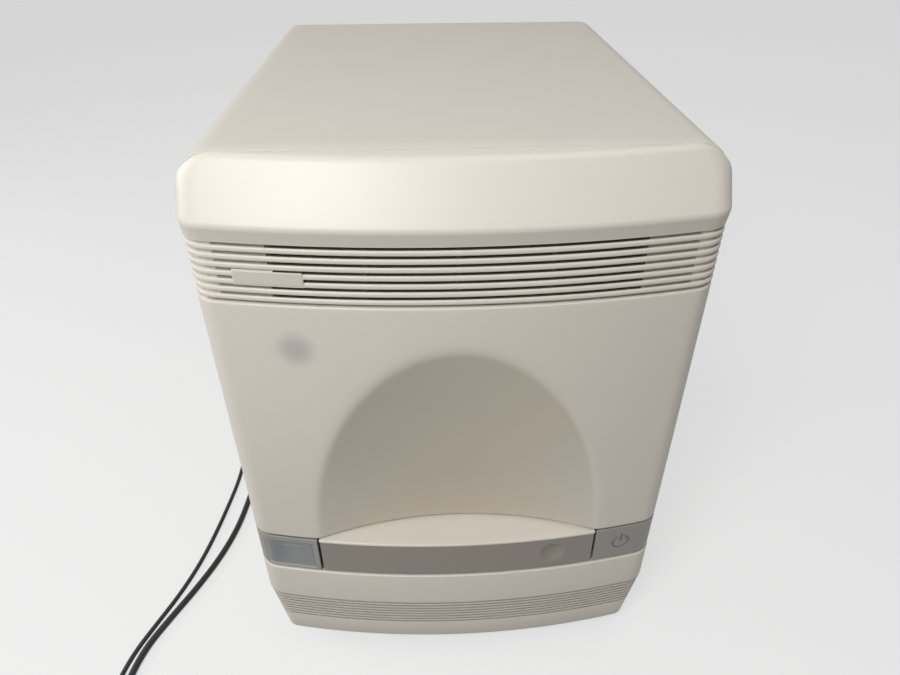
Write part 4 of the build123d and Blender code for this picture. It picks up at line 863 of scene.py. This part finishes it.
def groove_faces(piece):
    """1 on the grooves' floors and lower walls, which get painted shade. They are the faces whose
    height below the bend falls in the slit part of the pitch, less those of the inner wall."""
    x, y, z = face_middles(piece)
    below = SKIRT_KINK - GROOVE_START - z
    in_groove = (below > 0.1) & (below < SKIRT_GROOVES * SKIRT_PITCH)
    in_groove &= below % SKIRT_PITCH < SKIRT_SLIT + 0.2
    leaned = SKIRT_TAPER * np.clip(SKIRT_KINK - z, 0, None) / (SKIRT_KINK - SKIRT_LOW)
    behind = y - arc_y(x, SKIRT_Y + leaned)
    front = (np.abs(x) > 150) | (behind < WALL - 0.5)
    return in_groove & front


give_finish(skirt, groove_faces(skirt))

# %% [markdown]
# The cover wraps over the top and down both sides in one piece of painted sheet. A box with
# a Bevel would do for the outside. Carrying its section, an arch with rounded shoulders,
# straight back gives the turned-in edge round the rear panel and the inner wall as well.

# %% Cover
COVER_HALF = 170
COVER_LOW = 21
COVER_FRONT, COVER_REAR = -184.6, 225
REAR_ROUND = 11
REAR_FLANGE = 19


def arch(inset):
    """The arch inset by some mm: up the left side, over the top and down the right."""
    radius = max(SIDE_ROUND - inset, 1.5)
    half, top = COVER_HALF - inset, TOP_Z - inset
    turn = np.radians(np.linspace(0, 90, 13))
    shoulder_x = half - radius + radius * np.cos(turn)
    shoulder_z = top - radius + radius * np.sin(turn)
    side_z = np.linspace(COVER_LOW, top - radius, 9)[:-1]
    flat_x = np.linspace(half - radius, 0, 9)[1:]
    x = np.concatenate([np.full(8, half), shoulder_x, flat_x])
    z = np.concatenate([side_z, shoulder_z, np.full(8, top)])
    return np.concatenate([x, -x[-2::-1]]), np.concatenate([z, z[-2::-1]])


def cover_rows():
    """The arch carried back: (inset, y) pairs round a rolled front edge, along the outside,
    round the rear, in along the turned-in edge and forward again inside."""
    turn = np.radians(np.linspace(0, 90, 9))
    stations = [(1.0, COVER_FRONT), (0.3, COVER_FRONT + 0.3), (0, COVER_FRONT + 1.0)]
    stations += [(0, y) for y in np.linspace(-170, COVER_REAR - REAR_ROUND - 1, 8)]
    stations += [
        (REAR_ROUND * (1 - math.cos(a)), COVER_REAR - REAR_ROUND * (1 - math.sin(a)))
        for a in turn
    ]
    stations += [(REAR_FLANGE + WALL, COVER_REAR), (REAR_FLANGE + WALL, COVER_REAR - WALL)]
    stations += [(WALL + 8, COVER_REAR - WALL), (WALL, COVER_REAR - REAR_ROUND)]
    stations += [(WALL, COVER_FRONT)]
    rings = []
    for inset, y in stations:
        x, z = arch(inset)
        rings.append(np.stack([x, np.full_like(x, y), z], 1))
    return np.array(rings).transpose(1, 0, 2)


solid_from_grid("cover", cover_rows(), "case", cover_paint, ["top_cover"], 40)

# %% [markdown]
# The drawer's front is a light moulding whose top is the lens shaped ledge that shows in the
# finger recess. Its front is sunk by the thickness of the grey face that is let into it. It
# could be one piece in two colours, but the edge between them is a real step that catches
# the light, so they are two pieces.

# %% Drawer moulding
DRAWER_HALF = 117.3
DRAWER_LOW, DRAWER_HIGH = 124.2, 163.8
DRAWER_BACK = -188
DRAWER_EDGE = 1.3
FACE_SHEET = 3.6
FACE_DROP = 2.1


def drawer_rows():
    """The light moulding's section carried across: up the sunk front, over the rounded lip,
    back along the ledge and down behind."""
    xs = np.linspace(-DRAWER_HALF, DRAWER_HALF, 61)
    turn = np.radians(np.linspace(0, 90, 6))
    lip = DRAWER_HIGH - FACE_DROP
    section = [(FACE_SHEET, DRAWER_LOW), (FACE_SHEET, lip), (0, lip)]
    section += [
        (DRAWER_EDGE * (1 - math.cos(a)), DRAWER_HIGH - DRAWER_EDGE * (1 - math.sin(a)))
        for a in turn
    ]
    rows = [at_height(xs, arc_y(xs) + inset, z) for inset, z in section]
    for z in (DRAWER_HIGH, DRAWER_HIGH - WALL):
        rows.append(at_height(xs, np.full_like(xs, DRAWER_BACK), z))
    for z in (DRAWER_HIGH - WALL, DRAWER_LOW):
        rows.append(at_height(xs, arc_y(xs) + FACE_SHEET + 1.4, z))
    return np.array(rows).transpose(1, 0, 2)


solid_from_grid(
    "drawer_moulding", drawer_rows(), "drawer", case_plastic, ["drawer_front"], 40
)

# %% [markdown]
# A grey face plate fills the front. A shallow round dish near its right end says where to
# push. It could be cut with a ball, but the cut's rim would be sharp. Here the face's height
# field takes the ball's depth, run out softly past the rim, and its columns and rows lie
# closer together round the dish.

# %% Face plate helpers


def face_patch(name, xs, zs, front, back, body, finish):
    """A plate between two height fields, front(x, z) and back(x, z) in y, closed round its
    edge. Its rows run across and its columns are the section, up the front and down behind."""
    grid_x, grid_z = np.meshgrid(xs, zs, indexing="ij")
    outer = np.stack([grid_x, front(grid_x, grid_z), grid_z], -1)
    inner = np.stack([grid_x, back(grid_x, grid_z), grid_z], -1)[:, ::-1]
    points = np.concatenate([outer, inner], axis=1)
    return solid_from_grid(name, points, body, finish, [], 40)


def eased(low, high, count, fine):
    """Values from low to high, with extra ones close to both ends for a rounded edge."""
    steps = np.array([0, 0.15, 0.4, 0.7, 1.0]) * fine
    between = np.linspace(low + fine, high - fine, count)[1:-1]
    return np.concatenate([low + steps, between, (high - steps)[::-1]])


def merged(*parts):
    """Several lists of places as one, in order and each place once."""
    return np.unique(np.concatenate(parts))


def edge_drop(x, z, box, radius):
    """How far a rounded border falls back: a quarter circle within radius of the edge."""
    left, right, low, high = box
    near = np.minimum(np.minimum(x - left, right - x), np.minimum(z - low, high - z))
    inside = np.clip(radius - near, 0, radius)
    return radius - np.sqrt(np.maximum(radius**2 - inside**2, 0))


print("places along a short edge", len(eased(0, 10, 6, 1.0)))

# %% Drawer face
DISH_X, DISH_Z = 81.6, 144
DISH_RADIUS = 11
DISH_DEPTH = 3.2
DISH_SOFT = 0.008
DISH_GRID = np.arange(-15, 15, 0.8)
FACE = (-DRAWER_HALF + 0.4, DRAWER_HALF - 0.4, DRAWER_LOW + 0.2, DRAWER_HIGH - 2.3)


def dish(x, z):
    """Depth of the round dish: the ball's depth inside its rim, run out softly past it."""
    away = np.hypot(x - DISH_X, z - DISH_Z) / DISH_RADIUS
    ball = DISH_DEPTH * (1 - away**2)
    return (ball + np.sqrt(ball**2 + DISH_SOFT)) / 2 * (away < 1.6)


face_patch(
    "drawer_face",
    merged(eased(FACE[0], FACE[1], 60, 0.8), DISH_X + DISH_GRID),
    merged(eased(FACE[2], FACE[3], 12, 0.8), DISH_Z + DISH_GRID),
    lambda x, z: arc_y(x) + 0.1 + dish(x, z) + edge_drop(x, z, FACE, 0.5),
    lambda x, z: arc_y(x) + FACE_SHEET - 0.05,
    "drawer", drawer_grey,
)

# %% [markdown]
# The power key and the status panel fill the two ends of the drawer row, and both bend round
# the front's corner. A bent plate could be made flat and turned with a Curve modifier. Half
# of the front's plan already has that bend, so each is a grid between the outer plan and the
# inner one, sunk by the share of the wall that its face asks for.

# %% Corner pieces
END_LEFT = 119
EDGE_COLUMNS = [END_LEFT, END_LEFT + 0.25, END_LEFT + 0.7, END_LEFT + 1.3]
EDGE_ROUND = 0.9


def corner_rows(xs, zs, low, high, end_y, sink):
    """A section up the face and down the inner wall, carried from x = 119 round the corner to
    end_y. sink(x, z) is how far the face lies back, and the border is rounded as well."""
    x, y = half_plan(FACE_Y, HALF_WIDTH, CORNER, xs, end_y)
    inner_x, inner_y = half_plan(FACE_Y + WALL, HALF_WIDTH - WALL, CORNER - WALL, xs, end_y)
    middle = (low + high) / 2
    side_drop = edge_drop(x, middle, (END_LEFT, 999, low - 99, high + 99), EDGE_ROUND)
    rows = []
    for z in zs:
        end_drop = edge_drop(END_LEFT + 30, z, (0, 300, low, high), EDGE_ROUND)
        share = (end_drop + side_drop + sink(x, z)) / WALL
        rows.append(at_height(x + (inner_x - x) * share, y + (inner_y - y) * share, z))
    for z in (high - EDGE_ROUND, low + EDGE_ROUND):
        rows.append(at_height(inner_x, inner_y, z))
    return np.array(rows).transpose(1, 0, 2)


print("the corner pieces begin at x =", END_LEFT)

# %% [markdown]
# The mark on the key is the plain power sign that any maker uses: a broken ring and a stem,
# cut into the face with sloping sides. Text or a curve cut by a Boolean would leave long thin
# triangles. The depth of the cut is instead a smooth step of the distance to the sign's
# centre line, on columns and rows half a millimetre apart.

# %% Power sign
SIGN_X, SIGN_Z = 142.8, 144.4
SIGN_RADIUS = 7.2
SIGN_HALF = 1.0
SIGN_DEPTH = 0.7
SIGN_OPEN = 33
SIGN_STEM = (1.5, 2.4)


def power_sign(x, z):
    """Depth of the cut: distance to a ring that is open for 33 degrees each side of its top,
    or to an upright stem through that opening, turned into a groove with soft walls."""
    dx, dz = x - SIGN_X, z - SIGN_Z
    angle = np.degrees(np.arctan2(dx, dz))
    clamped = np.radians(np.sign(angle) * np.maximum(np.abs(angle), SIGN_OPEN))
    ring = np.hypot(dx - SIGN_RADIUS * np.sin(clamped), dz - SIGN_RADIUS * np.cos(clamped))
    stem_z = np.clip(dz, SIGN_STEM[0], SIGN_RADIUS + SIGN_STEM[1])
    away = np.minimum(ring, np.hypot(dx, dz - stem_z))
    return SIGN_DEPTH * eased_step((SIGN_HALF + 0.25 - away) / 0.5)


print("sign", 2 * SIGN_RADIUS, "mm across, cut", SIGN_DEPTH, "mm deep")

# %% Power key
KEY_LOW, KEY_HIGH = 124.4, 163.8
KEY_END_Y = -189
key_xs = merged(EDGE_COLUMNS + [END_LEFT + 3], np.arange(SIGN_X - 11, SIGN_X + 11, 0.45))
key_zs = merged(eased(KEY_LOW, KEY_HIGH, 10, 1.0), np.arange(SIGN_Z - 11, SIGN_Z + 11.5, 0.45))
key = solid_from_grid(
    "key",
    corner_rows(
        key_xs, key_zs, KEY_LOW, KEY_HIGH, KEY_END_Y,
        lambda x, z: power_sign(x, z) * (x < SIGN_X + 13.2),
    ),
    "power_key", [key_grey, sign_dark], ["power_button"], 45,
)
x, y, z = face_middles(key)
in_front = y < arc_y(x) + WALL / 2
give_finish(key, (power_sign(x, z) > SIGN_DEPTH * 0.55) & in_front)

# %% [markdown]
# The left end of the row is a frame round a smoked window. The frame slopes down to the
# window, so the window's edge doesn't show. Both could be one moulding with a painted
# middle. On the real one the window is a separate sheet, and only a sheet set deeper than
# its frame has the thin bright line round it that the slope gives.

# %% Status panel
PANEL_LOW, PANEL_HIGH = 123.9, 163.8
WINDOW = (-167, -122.8, 126.2, 158.6)
WINDOW_SINK = 1.2
WINDOW_SLOPE = 1.6
slope = np.array([0, 0.35, 0.7, 1.0]) * WINDOW_SLOPE


def window_sink(x, z):
    """Depth of the window's recess: nought on the frame, falling over a narrow slope."""
    left, right, low, high = WINDOW
    inside = np.minimum(np.minimum(x - left, right - x), np.minimum(z - low, high - z))
    return WINDOW_SINK * np.clip(inside / WINDOW_SLOPE, 0, 1)


panel_xs = merged(EDGE_COLUMNS, -WINDOW[1] + slope, np.linspace(128, 156, 9))
panel_zs = merged(eased(PANEL_LOW, PANEL_HIGH, 8, 1.0), WINDOW[2] + slope, WINDOW[3] - slope)
panel_rows = corner_rows(
    panel_xs, panel_zs, PANEL_LOW, PANEL_HIGH, SEAM_Y, lambda x, z: window_sink(-x, z)
)
to_the_left = np.array([-1, 1, 1])
solid_from_grid(
    "status_frame", panel_rows * to_the_left, "case", frame_grey, ["status_panel"],
    25,
)

# %% [markdown]
# The window itself is a smoked sheet that follows the same bend, a hair in front of the
# recess floor. A lighter bar is moulded near its top, where the lamps behind it shine
# through. The bar is a few faces of the sheet that stand a quarter millimetre proud.

# %% Status window
WINDOW_GAP = 0.25
WINDOW_FRONT, WINDOW_BACK = -0.35, 0.3
BAR = (-149, -133, 152.5, 154.3)
BAR_PROUD = 0.25
BAR_STEP = 0.1


def window_rows():
    """The window's section carried from its right edge round the corner to its left one. It
    ends where the corner circle comes to its left edge."""
    left, right, low, high = WINDOW
    edge = WINDOW_SLOPE + WINDOW_GAP
    circle_x = HALF_WIDTH - CORNER
    end_y = FACE_Y + FRONT_ARC - math.sqrt((FRONT_ARC - CORNER) ** 2 - circle_x**2)
    end_y -= math.sqrt(CORNER**2 - (-left - edge - circle_x) ** 2)
    bar_xs = [-BAR[1] - BAR_STEP, -BAR[1], -BAR[0], -BAR[0] + BAR_STEP]
    bar_zs = [BAR[2] - BAR_STEP, BAR[2], BAR[3], BAR[3] + BAR_STEP]
    xs = merged(np.linspace(-right + edge, circle_x - 1, 16), bar_xs)
    zs = merged(np.linspace(low + edge, high - edge, 9), bar_zs)
    rows = []
    for z, front in [(z, True) for z in zs] + [(z, False) for z in zs[::-1]]:
        inset = WINDOW_SINK + (WINDOW_FRONT if front else WINDOW_BACK)
        x, y = half_plan(FACE_Y + inset, HALF_WIDTH - inset, CORNER - inset, xs, end_y + inset)
        bar = (x > -BAR[1] - 0.05) & (x < -BAR[0] + 0.05) & (BAR[2] <= z <= BAR[3]) & front
        rows.append(at_height(-x, y - BAR_PROUD * bar, z))
    return np.array(rows).transpose(1, 0, 2)


window = solid_from_grid(
    "status_window", window_rows(), "case", [window_grey, frame_grey], ["status_lens"],
    30,
)
x, y, z = face_middles(window)
in_front = y < arc_y(x) + WINDOW_SINK
give_finish(window, (x > BAR[0]) & (x < BAR[1]) & (z > BAR[2]) & (z < BAR[3]) & in_front)

# %% [markdown]
# A small blank plate covers two of the ribs at the left of the vent band. It is painted
# metal sheet in the cover's colour, with a rounded edge. A beveled box would be flat, and
# this plate follows the front's arc, so it is one more patch between two height fields.

# %% Blank plate
face_patch(
    "blank_plate", eased(PLATE[0], PLATE[1], 14, 0.7), eased(PLATE[2], PLATE[3], 6, 0.7),
    lambda x, z: arc_y(x) - 0.35 + edge_drop(x, z, PLATE, 0.5),
    lambda x, z: arc_y(x) + 0.4,
    "case", cover_paint,
)

# %% [markdown]
# The floor is one wide pale disc. A backdrop that curves up would show its ends in other
# views, so there is none. To the camera the disc glows a little, so that it stays pale far
# away and meets the background without a line, and it still keeps the shadow. To diffuse
# light it is duller, so that it throws little light up under the skirt.

# %% Pale floor
FLOOR_SEEN, FLOOR_UNSEEN, FLOOR_GLOW = 0.26, 0.30, 0.60
WORLD_SEEN, WORLD_UNSEEN = 0.67, 0.24
FLOOR_RADIUS = 20
FLOOR_SIDES = 96


def seen_level(tree, seen, unseen):
    """A value that is seen for camera, mirror and glass rays, and unseen for diffuse light."""
    ray = tree.nodes.new("ShaderNodeLightPath")
    total = ray.outputs["Is Camera Ray"]
    for more in ("Is Glossy Ray", "Is Transmission Ray"):
        added = tree.nodes.new("ShaderNodeMath")
        added.operation = "MAXIMUM"
        tree.links.new(total, added.inputs[0])
        tree.links.new(ray.outputs[more], added.inputs[1])
        total = added.outputs["Value"]
    level = tree.nodes.new("ShaderNodeMapRange")
    level.inputs["To Min"].default_value = unseen
    level.inputs["To Max"].default_value = seen
    tree.links.new(total, level.inputs["Value"])
    return level.outputs["Result"]


def floor_of(name):
    """A matt white finish, scaled down to the floor's levels, with a glow where it is seen."""
    material = finish_of(name, (1, 1, 1), 0.9, cloud=0.01, cloud_size=400)
    tree = material.node_tree
    shader = tree.nodes["Principled BSDF"]
    shader.inputs["Specular IOR Level"].default_value = 0
    tone = tree.nodes.new("ShaderNodeVectorMath")
    tone.operation = "SCALE"
    tree.links.new(shader.inputs["Base Color"].links[0].from_socket, tone.inputs[0])
    tree.links.new(seen_level(tree, FLOOR_SEEN, FLOOR_UNSEEN), tone.inputs["Scale"])
    tree.links.new(tone.outputs["Vector"], shader.inputs["Base Color"])
    tree.links.new(seen_level(tree, FLOOR_GLOW, 0), shader.inputs["Emission Strength"])
    return material


turn = np.linspace(0, 2 * math.pi, FLOOR_SIDES + 1)[:-1]
rim = FLOOR_RADIUS * np.stack([np.cos(turn), np.sin(turn), np.zeros(FLOOR_SIDES)], 1)
floor_mesh = bpy.data.meshes.new("floor")
floor_mesh.from_pydata(rim.tolist(), [], [list(range(FLOOR_SIDES))])
floor_mesh.materials.append(floor_of("floor"))
floor = bpy.data.objects.new("floor", floor_mesh)
bpy.context.scene.collection.objects.link(floor)
print("floor", 2 * FLOOR_RADIUS, "m across")

# %% [markdown]
# The light is a plain studio's. A soft box in front and to the left is the key and models
# the recess and the dish. A large one overhead lights the cover and the ledge, and one at the
# left draws a bright rim along the upright edges. One small lamp would throw hard shadows
# that the photograph doesn't have. The world adds a weak even light from everywhere.

# %% Light


def soft_box(name, place, aim, size, watts):
    """A square area light at place that faces aim. Its z points away from aim, and its x lies
    level, square to z."""
    light = bpy.data.lights.new(name, "AREA")
    light.size = size
    light.energy = watts
    lamp = bpy.data.objects.new(name, light)
    bpy.context.scene.collection.objects.link(lamp)
    away = np.array(place) - np.array(aim)
    away = away / np.linalg.norm(away)
    side = np.cross((0, 1, 0.001), away)
    side = side / np.linalg.norm(side)
    stand_at(lamp, place, side, np.cross(away, side), away)
    lamp.visible_camera = False


soft_box("key", (-0.5, -1.05, 1.3), (0, -0.15, 0.3), 0.6, 16)
soft_box("overhead", (0.4, -0.1, 2.4), (0, 0, 0.2), 1.6, 8.5)
soft_box("left_rim", (-1.7, 0.2, 0.9), (0, 0, 0.3), 0.8, 9)

world = bpy.data.worlds.new("studio")
bpy.context.scene.world = world
world.use_nodes = True
sky = world.node_tree
background = sky.nodes["Background"]
background.inputs["Color"].default_value = (1.0, 0.99, 0.975, 1)
sky.links.new(seen_level(sky, WORLD_SEEN, WORLD_UNSEEN), background.inputs["Strength"])
bpy.context.scene.view_settings.view_transform = "Standard"
print("lamps", len(bpy.data.lights))
